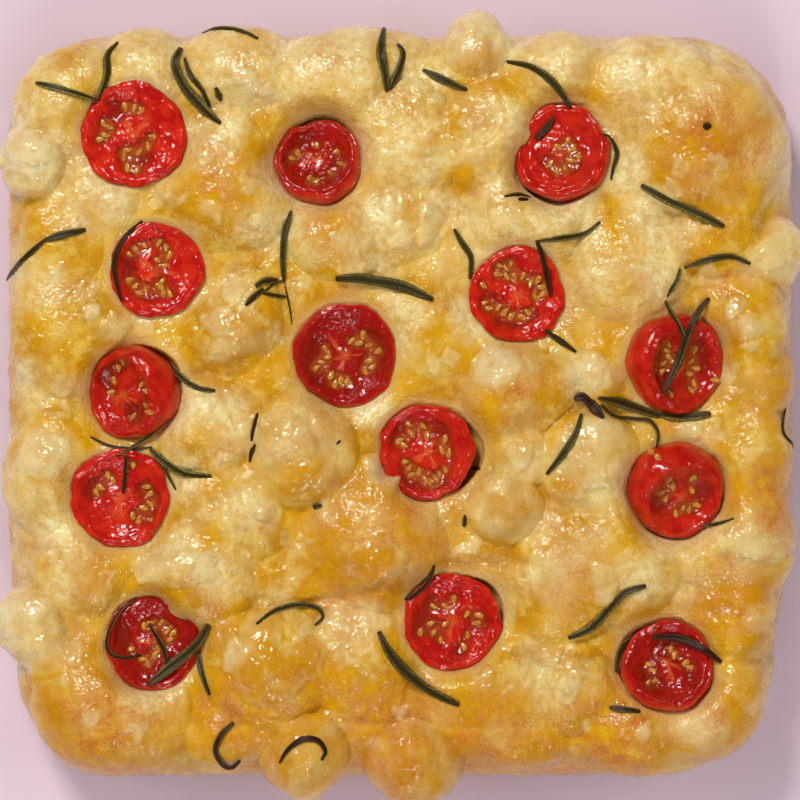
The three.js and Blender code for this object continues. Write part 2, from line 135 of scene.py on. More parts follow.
# Thin films of dough that a bubble lifts: across, down and radius on the plan, rise in
# millimetres, and how golden the film is, from whitish to toasted.
FILMS = [
    (34, 148, 22, 1.6, 0.2), (12, 156, 14, 1.2, 0.1), (26, 183, 20, 1.5, 0.3), (476, 34, 32, 1.6, 0.1),
    (245, 92, 18, 1.2, 0.3), (267, 92, 10, 0.8, 0.4), (350, 40, 22, 1.0, 0.2), (484, 62, 12, 0.9, 0.7),
    (430, 214, 13, 1.1, 0.2), (430, 238, 15, 1.3, 0.2), (735, 306, 11, 1.0, 0.3),
    (745, 328, 13, 1.1, 0.3), (729, 371, 10, 0.9, 0.4), (785, 246, 20, 1.3, 0.2),
    (222, 322, 20, 1.6, 0.3), (247, 333, 24, 1.8, 0.8), (236, 292, 13, 1.0, 0.3),
    (222, 349, 14, 1.0, 0.5), (288, 445, 32, 2.6, 0.5), (302, 478, 34, 2.0, 1.0),
    (264, 512, 11, 1.8, 0.4), (266, 421, 10, 1.2, 0.3), (327, 418, 12, 0.8, 0.6),
    (495, 366, 27, 1.6, 0.2), (588, 371, 20, 1.4, 0.3), (609, 378, 13, 0.9, 0.6),
    (600, 436, 30, 2.0, 0.2), (588, 466, 28, 2.0, 0.4), (565, 492, 22, 1.3, 0.7),
    (622, 470, 26, 1.5, 0.6), (509, 508, 27, 1.8, 0.6), (496, 482, 15, 1.3, 0.3),
    (518, 456, 16, 1.3, 0.3), (378, 560, 31, 2.0, 1.1), (372, 545, 12, 1.0, 0.9),
    (392, 572, 12, 1.0, 0.8), (225, 465, 14, 1.2, 0.4), (48, 455, 26, 1.5, 0.2),
    (28, 612, 30, 2.0, 0.2), (14, 633, 18, 1.4, 0.3), (44, 655, 24, 1.4, 0.6), (76, 654, 15, 1.1, 0.4),
    (183, 566, 26, 1.7, 0.4), (150, 568, 17, 1.1, 0.4), (207, 566, 16, 1.1, 0.5),
    (262, 632, 24, 1.8, 0.7), (240, 655, 20, 1.6, 0.3), (270, 672, 38, 2.2, 1.1),
    (305, 655, 24, 1.4, 1.1), (304, 752, 34, 2.2, 1.0), (283, 700, 14, 1.0, 0.9),
    (337, 722, 14, 1.0, 0.9), (412, 742, 24, 1.7, 1.1), (417, 770, 34, 1.8, 1.0),
    (600, 576, 14, 1.1, 0.3), (604, 592, 14, 1.1, 0.3), (566, 688, 14, 1.2, 0.1),
    (645, 731, 10, 0.9, 0.2), (470, 545, 12, 1.1, 0.2), (145, 325, 9, 0.8, 0.3),
    (93, 311, 10, 1.0, 0.1), (380, 468, 18, 1.6, 0.2), (690, 430, 13, 1.0, 0.2),
]

# Small bubbles under the skin, paler than the crust round them: across, down, radius, rise.
BUBBLES = [
    (48, 68, 14, 0.9), (90, 68, 12, 0.8), (130, 60, 14, 0.9), (62, 147, 9, 0.7), (38, 120, 10, 0.6),
    (98, 194, 18, 1.1), (120, 205, 12, 0.8), (190, 166, 12, 0.9), (215, 212, 14, 1.2),
    (250, 187, 12, 1.2), (258, 222, 11, 1.1), (184, 204, 9, 0.8), (362, 56, 10, 0.7),
    (372, 104, 11, 0.8), (363, 126, 9, 0.7), (288, 96, 10, 0.7), (440, 90, 13, 1.0),
    (466, 128, 10, 0.8), (520, 112, 12, 0.8), (400, 239, 16, 1.3), (389, 208, 12, 1.0),
    (384, 164, 12, 0.9), (430, 178, 10, 0.8), (502, 222, 14, 1.1), (556, 214, 20, 1.0),
    (690, 232, 14, 0.9), (680, 252, 14, 0.9), (675, 166, 11, 0.8), (640, 214, 12, 0.8),
    (626, 246, 10, 0.8), (716, 70, 11, 0.8), (630, 56, 9, 0.6), (115, 328, 15, 1.4), (90, 288, 9, 0.7),
    (24, 270, 18, 0.9), (66, 406, 8, 0.7), (54, 412, 6, 0.5), (745, 347, 8, 0.9), (712, 432, 16, 1.0),
    (752, 452, 12, 0.8), (300, 547, 12, 0.8), (688, 720, 20, 1.0), (755, 618, 18, 1.0),
    (742, 545, 24, 1.0), (690, 557, 9, 1.0), (480, 340, 12, 0.8), (428, 350, 7, 0.7),
    (450, 358, 10, 0.8), (410, 312, 12, 0.8), (385, 300, 9, 0.6), (95, 470, 10, 0.6),
    (30, 505, 14, 0.7), (230, 505, 16, 0.8), (650, 700, 10, 0.7), (150, 700, 20, 0.9),
    (150, 410, 8, 0.5), (210, 405, 18, 0.9), (335, 620, 16, 0.8), (372, 612, 16, 0.8),
    (470, 570, 12, 0.7), (350, 655, 10, 0.6), (540, 668, 16, 1.0), (580, 672, 14, 0.9),
    (548, 560, 16, 0.7), (700, 305, 10, 0.5), (340, 240, 10, 0.6), (320, 215, 10, 0.6),
    (355, 215, 9, 0.6), (75, 212, 12, 0.8), (60, 275, 12, 0.6), (480, 205, 9, 0.6), (555, 245, 9, 0.8),
    (575, 250, 9, 0.8), (400, 712, 9, 0.7), (90, 715, 10, 0.7),
]

# Patches that stayed pale, some of them painted light on lobes that face the window, and patches
# that browned, some of them painted shade between lobes: across, down, radius, how much.
PALE_AND_LIT = [
    (160, 45, 80, 0.6), (320, 50, 90, 0.7), (420, 60, 60, 0.5), (640, 60, 80, 0.8), (740, 90, 50, 0.6),
    (20, 110, 50, 0.8), (12, 280, 50, 0.5), (15, 480, 60, 0.6), (60, 550, 66, 0.7), (780, 160, 50, 0.9),
    (785, 320, 40, 0.5), (200, 145, 36, 0.8), (90, 185, 60, 0.8), (400, 145, 60, 0.7),
    (500, 130, 44, 0.7), (560, 215, 56, 0.9), (440, 230, 60, 0.5), (610, 280, 60, 0.5),
    (400, 310, 34, 0.5), (400, 350, 24, 0.5), (195, 405, 40, 0.8), (45, 455, 40, 0.6),
    (240, 510, 50, 0.5), (170, 555, 40, 0.7), (600, 470, 56, 0.5), (350, 620, 44, 0.6),
    (300, 620, 24, 0.4), (500, 590, 40, 0.4), (560, 560, 50, 0.6), (540, 672, 46, 0.5),
    (700, 430, 30, 0.4), (740, 545, 44, 0.8), (690, 715, 40, 0.7), (150, 695, 44, 0.9),
    (370, 405, 30, 1.0), (640, 400, 18, 0.6), (720, 525, 18, 0.6), (386, 470, 22, 1.0),
    (225, 290, 40, 0.4), (480, 640, 24, 0.5), (30, 70, 60, 0.6), (230, 80, 50, 0.7),
    (228, 128, 30, 0.8), (278, 180, 34, 1.0), (290, 228, 50, 0.8), (370, 225, 44, 0.8),
    (495, 225, 60, 0.6), (588, 130, 44, 0.7), (622, 172, 34, 1.0), (650, 222, 44, 0.9),
    (660, 278, 36, 0.9), (376, 272, 34, 0.7), (478, 322, 34, 1.0), (222, 425, 44, 0.8),
    (180, 475, 34, 0.8), (225, 572, 38, 0.9), (675, 530, 46, 1.0), (640, 575, 36, 0.9),
    (685, 578, 30, 0.6), (580, 372, 30, 0.8), (700, 60, 60, 0.5), (540, 30, 70, 0.8),
    (525, 372, 26, 0.5), (372, 525, 26, 0.5), (430, 520, 24, 0.6), (100, 700, 36, 0.4),
    (30, 385, 36, 0.6), (780, 720, 40, 0.6), (476, 34, 40, 1.0), (34, 155, 44, 0.9), (25, 630, 50, 0.8),
    (350, 40, 30, 0.9), (785, 250, 36, 0.8), (495, 366, 26, 0.8), (288, 445, 30, 0.7),
]
BROWNED_AND_SHADED = [
    (225, 180, 46, 0.7), (335, 235, 42, 0.5), (715, 150, 74, 0.9), (735, 165, 40, 0.5),
    (700, 250, 30, 0.5), (515, 392, 54, 0.7), (325, 440, 24, 0.5), (220, 445, 22, 0.5),
    (380, 560, 100, 0.8), (100, 572, 40, 0.5), (110, 735, 84, 1.0), (240, 715, 60, 0.9),
    (200, 610, 36, 0.5), (390, 730, 76, 1.0), (490, 735, 66, 0.9), (310, 690, 56, 0.7),
    (580, 585, 60, 0.6), (620, 735, 74, 1.0), (725, 598, 56, 0.9), (765, 500, 56, 0.9),
    (640, 275, 30, 0.3), (770, 390, 40, 0.5), (490, 75, 34, 0.5), (85, 655, 40, 0.4),
    (720, 720, 50, 0.7), (560, 760, 60, 0.8), (90, 210, 30, 0.2), (660, 640, 50, 0.6),
    (465, 395, 30, 0.4), (475, 572, 34, 0.4), (550, 520, 36, 0.3), (40, 545, 26, 0.3),
    (480, 110, 26, 0.3), (728, 275, 34, 0.8), (728, 325, 34, 0.5), (622, 330, 34, 0.5),
    (680, 428, 30, 0.5), (350, 305, 40, 0.5), (335, 480, 24, 0.5), (250, 760, 40, 0.6),
]

# Creases where lobes press on each other: points on the plan, and depth in millimetres.
# Painted shade: the crust is also coloured darker brown along these creases.
CREASES = [
    (1.0, (300, 606), (352, 594), (400, 588), (440, 572), (470, 561), (520, 560)),
    (0.8, (505, 650), (545, 657), (580, 661), (622, 659)), (0.7, (712, 657), (745, 657), (790, 652)),
    (0.6, (655, 598), (690, 608), (712, 612), (745, 608)), (0.7, (340, 482), (375, 472), (395, 480)),
    (0.5, (0, 546), (25, 548), (52, 545)), (0.6, (196, 372), (240, 362), (262, 340)),
    (0.5, (5, 176), (20, 175), (45, 170)), (0.5, (205, 500), (235, 490), (258, 482)),
    (0.5, (220, 626), (240, 612), (262, 604)), (0.5, (560, 402), (585, 412), (640, 425)),
    (0.5, (645, 226), (668, 214), (700, 226)), (0.5, (725, 560), (765, 560), (790, 552)),
]

# ---------------------------------------------------------------- tomatoes

# The rows of the solids, without their chambers: x, y, height of the widest ring, its radius, the
# direction that the cut face leans to and how far, the angle from the bottom round to the cut,
# and how much the cut slants the same way. TOMATO_DEPTH is theirs too.
TOMATOES = [
    (-66.5, 67.8, 30.5, 13.2, 200, 3, 98, 0), (-20.3, 61, 26.5, 10.9, 110, 11, 110, 12),
    (40.8, 63.3, 28.5, 12.3, 140, 14, 108, 4), (-61, 34, 30, 11.9, 0, 2, 98, 0),
    (29.3, 27.8, 30, 12, 0, 2, 98, 0), (-13.8, 12.8, 29, 12.9, 270, 4, 98, 0),
    (68.8, 10.8, 28.5, 12.6, 350, 12, 115, 21), (-66.5, 3.3, 28.5, 11.8, 190, 15, 118, 24),
    (6.8, -11.5, 28.5, 12, 180, 6, 102, 0), (69, -20.8, 28, 12.3, 305, 12, 122, 18),
    (-70, -22.8, 29.5, 12.4, 260, 3, 98, 0), (13, -54, 29, 12.2, 0, 1, 96, 0),
    (-62, -59.3, 28, 11.9, 60, 5, 98, 0), (67, -65.3, 28, 11.6, 90, 7, 110, 8),
]
TOMATO_DEPTH = 0.78  # of its radius, below its widest ring

SHRUNK = [1.0, 2.4, 1.3, 1.0, 1.0, 1.7, 1.5, 2.2, 1.2, 1.6, 1.3, 1.2, 1.5, 1.8]  # face below its rim
AMBER = [1, 0.9, 1, 0.9, 0.9, 1, 1, 0.2, 0.9, 1, 0.6, 0.5, 0.9, 0.3]  # how amber each half's jelly is
RIPE = [0, 0.8, 0.2, 0, 0, 0.9, 0.4, 0.3, 0.2, 0.3, 0.1, 0.2, 0.9, 0.8]  # how dark red its flesh is

TUCKED_UNDER = 0.8  # how far the crust goes in under a tomato's skin
CONTACT = 0.2  # how far above the widest ring it meets the skin
ROLL_START = 0.6  # how far out from there it begins to rise
ROLL_WIDTH = 5.5  # how far out it takes to do so
OVERHANG_ABOVE = 0.6  # how far over the rim swollen dough ends

# Where the pocket gapes beside a tomato: its number, the direction, and how wide.
GAPES = [(9, -5, 2.2), (12, 30, 1.2), (8, 40, 1.2), (3, 255, 1.0), (2, 90, 0.8), (14, 160, 0.8)]

# Seeds of each tomato in turn, across and down on the plan.
SEEDS = [
    [(125, 107), (134, 108), (141, 111), (103, 123), (109, 127), (105, 135), (153, 136), (148, 146),
     (139, 152), (127, 150), (124, 156), (127, 168), (137, 170), (99, 139)],
    [(291, 157), (297, 151), (316, 144), (337, 150), (341, 163), (330, 172), (309, 178), (316, 181)],
    [(568, 140), (559, 147), (573, 149), (578, 156), (557, 171), (565, 168), (551, 163), (570, 160)],
    [(136, 250), (129, 254), (144, 245), (158, 243), (166, 247), (169, 255), (157, 260), (164, 265),
     (129, 280), (135, 286), (139, 293), (145, 289), (159, 286), (163, 292), (169, 293), (162, 281)],
    [(499, 265), (506, 268), (498, 274), (511, 263), (507, 276), (515, 277), (523, 276), (531, 283),
     (538, 280), (542, 287), (543, 294), (536, 297), (483, 285), (484, 303), (489, 308), (499, 307),
     (505, 312), (512, 316), (522, 317), (528, 312)],
    [(351, 341), (358, 343), (363, 335), (369, 345), (325, 349), (321, 362), (328, 357), (316, 368),
     (331, 375), (341, 380), (335, 384), (347, 381), (368, 361), (372, 367), (365, 371), (378, 351)],
    [(666, 350), (669, 357), (663, 363), (673, 362), (661, 372), (668, 344), (695, 350), (691, 361),
     (697, 368), (689, 373), (695, 383), (692, 390), (716, 380), (670, 394)],
    [(118, 367), (123, 361), (113, 381), (110, 392), (147, 391), (143, 384), (133, 417), (151, 412),
     (147, 406)],
    [(408, 423), (411, 433), (423, 426), (427, 436), (403, 445), (399, 441), (445, 440), (442, 450),
     (449, 453), (405, 462), (409, 468), (412, 475), (419, 472), (426, 480), (431, 484), (440, 475),
     (446, 470), (436, 479)],
    [(693, 478), (692, 490), (666, 498), (661, 492), (673, 487), (668, 480), (676, 513), (690, 510),
     (697, 505), (684, 507), (651, 453), (657, 458)],
    [(107, 475), (113, 480), (100, 488), (96, 493), (150, 494), (146, 487), (143, 508), (150, 504),
     (132, 515), (138, 521), (151, 520), (133, 464)],
    [(434, 607), (446, 607), (454, 599), (431, 624), (420, 633), (434, 633), (467, 615), (479, 616),
     (477, 624), (468, 636), (464, 647), (441, 641), (446, 624)],
    [(143, 628), (150, 624), (160, 624), (166, 632), (168, 641), (157, 649), (154, 656), (147, 665),
     (142, 660), (131, 650), (172, 634)],
    [(650, 665), (653, 671), (655, 682), (648, 684), (672, 650), (675, 656), (691, 668), (686, 664)],
]

# Where seed jelly shows without a seed.
JELLY = [
    [(112, 105), (118, 115), (144, 140), (132, 160), (145, 158)],
    [(300, 141), (308, 134), (335, 181), (285, 165)],
    [(575, 165), (545, 158)],
    [(126, 265), (130, 272), (150, 297)],
    [(492, 298), (500, 322), (515, 325), (535, 315)],
    [(374, 336), (381, 346), (383, 358), (318, 343), (311, 354), (312, 376), (322, 386), (352, 388),
     (376, 365)],
    [(658, 356), (656, 378), (664, 384), (704, 356), (702, 345), (706, 368)],
    [(103, 372), (108, 366), (116, 359), (106, 384), (140, 421), (128, 410), (139, 411)],
    [(396, 430), (388, 440), (415, 486), (441, 486), (401, 481), (435, 428), (444, 431)],
    [(706, 487), (704, 497), (656, 500), (660, 507)],
    [(93, 482), (89, 494), (140, 489), (157, 500), (160, 510)],
    [(431, 599), (423, 612), (421, 622), (485, 622), (457, 653)],
    [(119, 633), (124, 644), (118, 624), (112, 640)],
    [(664, 648), (657, 653), (644, 673), (692, 681), (660, 689)],
]

# ---------------------------------------------------------------- rosemary

# Each needle: width, how dry it is, and points along it on the plan.
NEEDLES = [
    (2.0, 0.1, (36, 83), (65, 91), (98, 101)), (2.1, 0.1, (117, 41), (107, 54), (107, 75), (99, 100)),
    (2.8, 0.0, (180, 47), (175, 64), (184, 86), (201, 106), (221, 124)),
    (1.5, 0.5, (184, 57), (190, 74), (202, 90), (210, 107)), (1.8, 0.3, (216, 88), (221, 101)),
    (1.5, 0.1, (199, 27), (226, 27), (243, 31), (258, 38)),
    (2.4, 0.1, (384, 25), (381, 50), (385, 75), (387, 92)),
    (2.0, 0.2, (398, 43), (403, 53), (399, 70), (390, 90)), (2.1, 0.2, (423, 69), (442, 79), (467, 90)),
    (2.0, 0.2, (507, 61), (532, 68), (553, 84), (571, 108)),
    (2.0, 0.9, (554, 117), (548, 126), (536, 139)),
    (1.2, 0.3, (602, 135), (610, 138), (617, 153), (613, 169), (611, 180)),
    (2.6, 0.1, (641, 186), (666, 200), (692, 212), (723, 227)),
    (1.6, 0.1, (536, 242), (560, 239), (584, 234), (600, 222)),
    (1.7, 0.8, (536, 241), (542, 256), (547, 275), (551, 297)),
    (1.7, 0.1, (454, 229), (462, 243), (471, 258), (470, 279)),
    (1.2, 0.3, (504, 197), (518, 195), (531, 197)), (1.3, 0.9, (518, 200), (528, 200)),
    (1.7, 0.1, (684, 268), (708, 260), (731, 257), (750, 264)),
    (1.6, 0.2, (680, 269), (676, 281), (667, 297)),
    (1.6, 0.3, (665, 301), (672, 315), (680, 329), (686, 344)),
    (2.4, 0.7, (709, 298), (696, 315), (686, 338), (678, 362), (662, 393)),
    (1.8, 0.1, (291, 211), (285, 231), (283, 256), (284, 281)),
    (0.5, 0.6, (284, 281), (290, 309), (292, 325)),
    (2.9, 0.0, (336, 279), (362, 279), (400, 286), (433, 300)),
    (1.7, 0.4, (246, 306), (256, 296), (264, 289)), (2.2, 0.5, (256, 287), (264, 282), (278, 280)),
    (1.3, 0.3, (261, 292), (271, 295), (286, 297)), (0.9, 0.3, (264, 293), (274, 284), (284, 281)),
    (1.6, 0.3, (0, 278), (22, 260), (46, 240)), (2.0, 0.4, (44, 241), (64, 235), (86, 230)),
    (1.5, 0.7, (142, 221), (124, 239), (115, 262), (117, 282), (122, 302)),
    (1.7, 0.3, (170, 364), (184, 379), (199, 388), (216, 391)),
    (1.6, 0.5, (545, 330), (556, 338), (576, 352)), (2.7, 0.9, (574, 399), (585, 398), (602, 418)),
    (2.7, 0.4, (598, 398), (621, 403), (642, 410), (660, 416)),
    (1.2, 0.5, (601, 405), (615, 416), (636, 419), (650, 421), (658, 433), (656, 448)),
    (2.7, 0.3, (660, 415), (684, 417), (711, 414)),
    (2.0, 0.0, (581, 414), (575, 433), (563, 453), (546, 474)),
    (1.1, 0.9, (258, 413), (254, 428), (252, 441)), (1.3, 0.9, (256, 444), (252, 453), (250, 462)),
    (1.0, 0.6, (90, 437), (110, 446), (135, 449), (152, 447)),
    (2.3, 0.0, (150, 449), (165, 462), (185, 473), (212, 476)),
    (1.0, 0.7, (172, 418), (149, 436), (117, 457)), (1.3, 0.8, (127, 455), (125, 475), (123, 494)),
    (1.0, 0.4, (155, 453), (165, 470), (176, 490)),
    (1.1, 0.6, (789, 408), (784, 424), (786, 436), (800, 449)), (1.5, 0.7, (313, 507), (322, 505)),
    (0.7, 0.7, (337, 444), (341, 440)), (1.3, 0.4, (465, 515), (464, 527)),
    (1.2, 0.9, (471, 467), (480, 469)), (1.5, 0.9, (434, 565), (429, 580), (418, 592), (405, 600)),
    (2.8, 0.3, (379, 631), (390, 652), (410, 675), (432, 691), (459, 704)),
    (1.5, 0.3, (257, 623), (275, 610), (300, 604), (318, 608), (323, 617), (315, 625)),
    (1.8, 0.8, (234, 722), (222, 734), (216, 750), (222, 764), (231, 768), (240, 761)),
    (1.7, 0.9, (280, 761), (288, 748), (303, 737), (318, 738), (326, 749), (322, 758)),
    (2.4, 0.3, (645, 585), (624, 592), (608, 609), (590, 628), (568, 638)),
    (2.2, 1.0, (652, 637), (680, 639), (702, 648), (721, 662)),
    (2.0, 0.2, (634, 636), (622, 650), (617, 673)), (1.8, 0.5, (609, 707), (625, 709), (640, 711)),
    (1.2, 0.2, (702, 526), (718, 524), (733, 518)),
    (1.3, 0.8, (136, 598), (120, 611), (109, 632), (108, 650), (121, 658), (140, 656)),
    (1.6, 0.8, (147, 623), (158, 640), (165, 655), (166, 670)),
    (2.9, 0.1, (209, 625), (196, 645), (176, 663), (148, 685)),
    (2.0, 0.3, (197, 654), (203, 675), (210, 695)), (2.2, 0.6, (701, 128), (709, 128)),
]

# ---------------------------------------------------------------- small tools


def smoothstep(x, low, high):
    """0 below low, 1 above high, and 3s^2 - 2s^3 of the share s between."""
    share = np.clip((x - low) / (high - low), 0, 1)
    return share * share * (3 - 2 * share)


def mix(a, b, share):
    """a where share is 0 and b where it is 1."""
    return a + (b - a) * share


def ripple(points, length, seed, waves=28):
    """Smooth noise, mostly within -1..1: plane sine waves of about that length in random
    directions, added up and divided by the root of half their number."""
    rng = np.random.default_rng(seed)
    direction = rng.normal(size=(waves, 3))
    direction /= np.linalg.norm(direction, axis=1, keepdims=True)
    wavelength = length * rng.uniform(0.7, 1.5, waves)
    phase = rng.uniform(0, TURN, waves)
    turns = points @ (direction * (TURN / wavelength)[:, None]).T + phase
    return np.sin(turns).sum(axis=1) / math.sqrt(waves / 2)


def vertex_normals(points, quads):
    """The normal at each point: the sum of its quads' normals, from the cross product of their
    diagonals, made one long."""
    a, b, c, d = (points[quads[:, corner]] for corner in range(4))
    across = np.cross(c - a, d - b)
    normals = np.zeros_like(points)
    for corner in range(4):
        np.add.at(normals, quads[:, corner], across)
    return normals / np.maximum(np.linalg.norm(normals, axis=1, keepdims=True), 1e-12)


def band(lower, upper):
    """Quads between two closed rings of point numbers, faced outwards when the rings run
    anticlockwise and upper lies above lower."""
    return np.stack([lower, np.roll(lower, -1), np.roll(upper, -1), upper], axis=1)


def capped_rings(numbers, bottom, top):
    """Faces of a skin whose rings of point numbers go up, closed at both ends by a point."""
    quads = np.concatenate([band(numbers[k], numbers[k + 1]) for k in range(len(numbers) - 1)])
    first, last, sides = numbers[0], numbers[-1], numbers.shape[1]
    fans = np.concatenate([
        np.stack([np.full(sides, bottom), np.roll(first, -1), first], axis=1),
        np.stack([last, np.roll(last, -1), np.full(sides, top)], axis=1),
    ])
    return quads, fans


def make_piece(name, points, faces, material, attributes=None, normals=None):
    """A mesh in the shared frame that rides on the one body. Each attribute is a number at
    every point. Normals are given where a skin goes on in another piece."""
    mesh = bpy.data.meshes.new(name)
    mesh.from_pydata((points * MM).tolist(), [], [row for block in faces for row in block.tolist()])
    mesh.polygons.foreach_set("use_smooth", np.ones(len(mesh.polygons), bool))
    for key, values in (attributes or {}).items():
        layer = mesh.attributes.new(key, "FLOAT", "POINT")
        layer.data.foreach_set("value", values.astype(np.float32))
    if normals is not None:
        mesh.normals_split_custom_set_from_vertices(normals.tolist())
    mesh.materials.append(material)
    piece = bpy.data.objects.new(name, mesh)
    bpy.context.scene.collection.objects.link(piece)
    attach(piece, "root")
    return piece


def surface_below(pieces):
    """A function that gives the height of the highest of the pieces over points of the plan,
    where a line straight down meets them."""
    trees = []
    for piece in pieces:
        corners = [v.co for v in piece.data.vertices]
        trees.append(BVHTree.FromPolygons(corners, [p.vertices for p in piece.data.polygons]))
    down = Vector((0, 0, -1))

    def heights(plan):
        found = []
        for x, y in plan * MM:
            hits = [tree.ray_cast(Vector((x, y, ABOVE_ALL)), down)[0] for tree in trees]
            found.append(max((hit.z for hit in hits if hit), default=WIDEST * MM) / MM)
        return np.array(found)

    return heights


# ---------------------------------------------------------------- materials: small tools


def srgb(code):
    """A colour like "#d8a03c" as linear red, green, blue and alpha."""
    parts = [int(code[k:k + 2], 16) / 255 for k in (1, 3, 5)]
    return [p / 12.92 if p <= 0.04045 else ((p + 0.055) / 1.055) ** 2.4 for p in parts] + [1]


def add_node(tree, kind, links=None, **settings):
    """Adds a node. settings are its own properties, or its sockets' values where a name starts
    with "in_" and a number; links says which socket each input number or name comes from."""
    node = tree.nodes.new(kind)
    for key, value in settings.items():
        if key.startswith("in_"):
            node.inputs[int(key[3:])].default_value = value
        else:
            setattr(node, key, value)
    for key, source in (links or {}).items():
        tree.links.new(source, node.inputs[key])
    return node


def finish_of(name, **sockets):
    """A new material with a Principled shader whose uniform values are set on its own sockets."""
    material = bpy.data.materials.new(name)
    material.use_nodes = True
    shader = material.node_tree.nodes["Principled BSDF"]
    for key, value in sockets.items():
        shader.inputs[key.replace("_", " ")].default_value = value
    return material, material.node_tree, shader


def attribute(tree, name):
    """The number that a mesh carries under a name."""
    return add_node(tree, "ShaderNodeAttribute", attribute_name=name).outputs["Fac"]


def blend_colour(tree, below, above, share):
    """Colour above over colour below, by share. Each colour is a socket or an sRGB code."""
    node = add_node(tree, "ShaderNodeMix", data_type="RGBA")
    tree.links.new(share, node.inputs[0])
    for socket, colour in ((node.inputs[6], below), (node.inputs[7], above)):
        if isinstance(colour, str):
            socket.default_value = srgb(colour)
        else:
            tree.links.new(colour, socket)
    return node.outputs[2]


def layered(tree, ground, *layers):
    """Layers over a ground colour, the lowest first, each given as its colour and its share."""
    for colour, share in layers:
        ground = blend_colour(tree, ground, colour, share)
    return ground


def calc(tree, operation, *values, clamp=False):
    """A Math node on sockets or numbers."""
    node = add_node(tree, "ShaderNodeMath", operation=operation, use_clamp=clamp)
    for k, value in enumerate(values):
        if isinstance(value, (int, float)):
            node.inputs[k].default_value = value
        else:
            tree.links.new(value, node.inputs[k])
    return node.outputs[0]


def times(tree, value, factor, plus=0.0, clamp=False):
    """The value times the factor, and plus."""
    return calc(tree, "MULTIPLY_ADD", value, factor, plus, clamp=clamp)


def ramp(tree, value, low, high):
    """0 where value is below low and 1 where it is above high, eased between."""
    node = add_node(tree, "ShaderNodeMapRange", interpolation_type="SMOOTHSTEP", in_1=low, in_2=high)
    tree.links.new(value, node.inputs[0])
    return node.outputs[0]


def noise(tree, spacing_mm, detail=2.0, roughness=0.5, distortion=0.0):
    """Noise whose lumps are about spacing_mm apart, on Object coordinates."""
    place = add_node(tree, "ShaderNodeTexCoord").outputs["Object"]
    node = add_node(tree, "ShaderNodeTexNoise", {"Vector": place})
    node.inputs["Scale"].default_value = 1 / (spacing_mm * MM)
    node.inputs["Detail"].default_value = detail
    node.inputs["Roughness"].default_value = roughness
    node.inputs["Distortion"].default_value = distortion
    return node.outputs["Fac"]


def bump(tree, shader, *layers, onto="Normal"):
    """Adds up bumps, each a height socket and its depth in mm, on the shader's base or coat."""
    normal = None
    for height, depth_mm in layers:
        node = add_node(tree, "ShaderNodeBump", {"Height": height})
        node.inputs["Distance"].default_value = depth_mm * MM
        if normal:
            tree.links.new(normal, node.inputs["Normal"])
        normal = node.outputs["Normal"]
    tree.links.new(normal, shader.inputs[onto])


# ---------------------------------------------------------------- materials


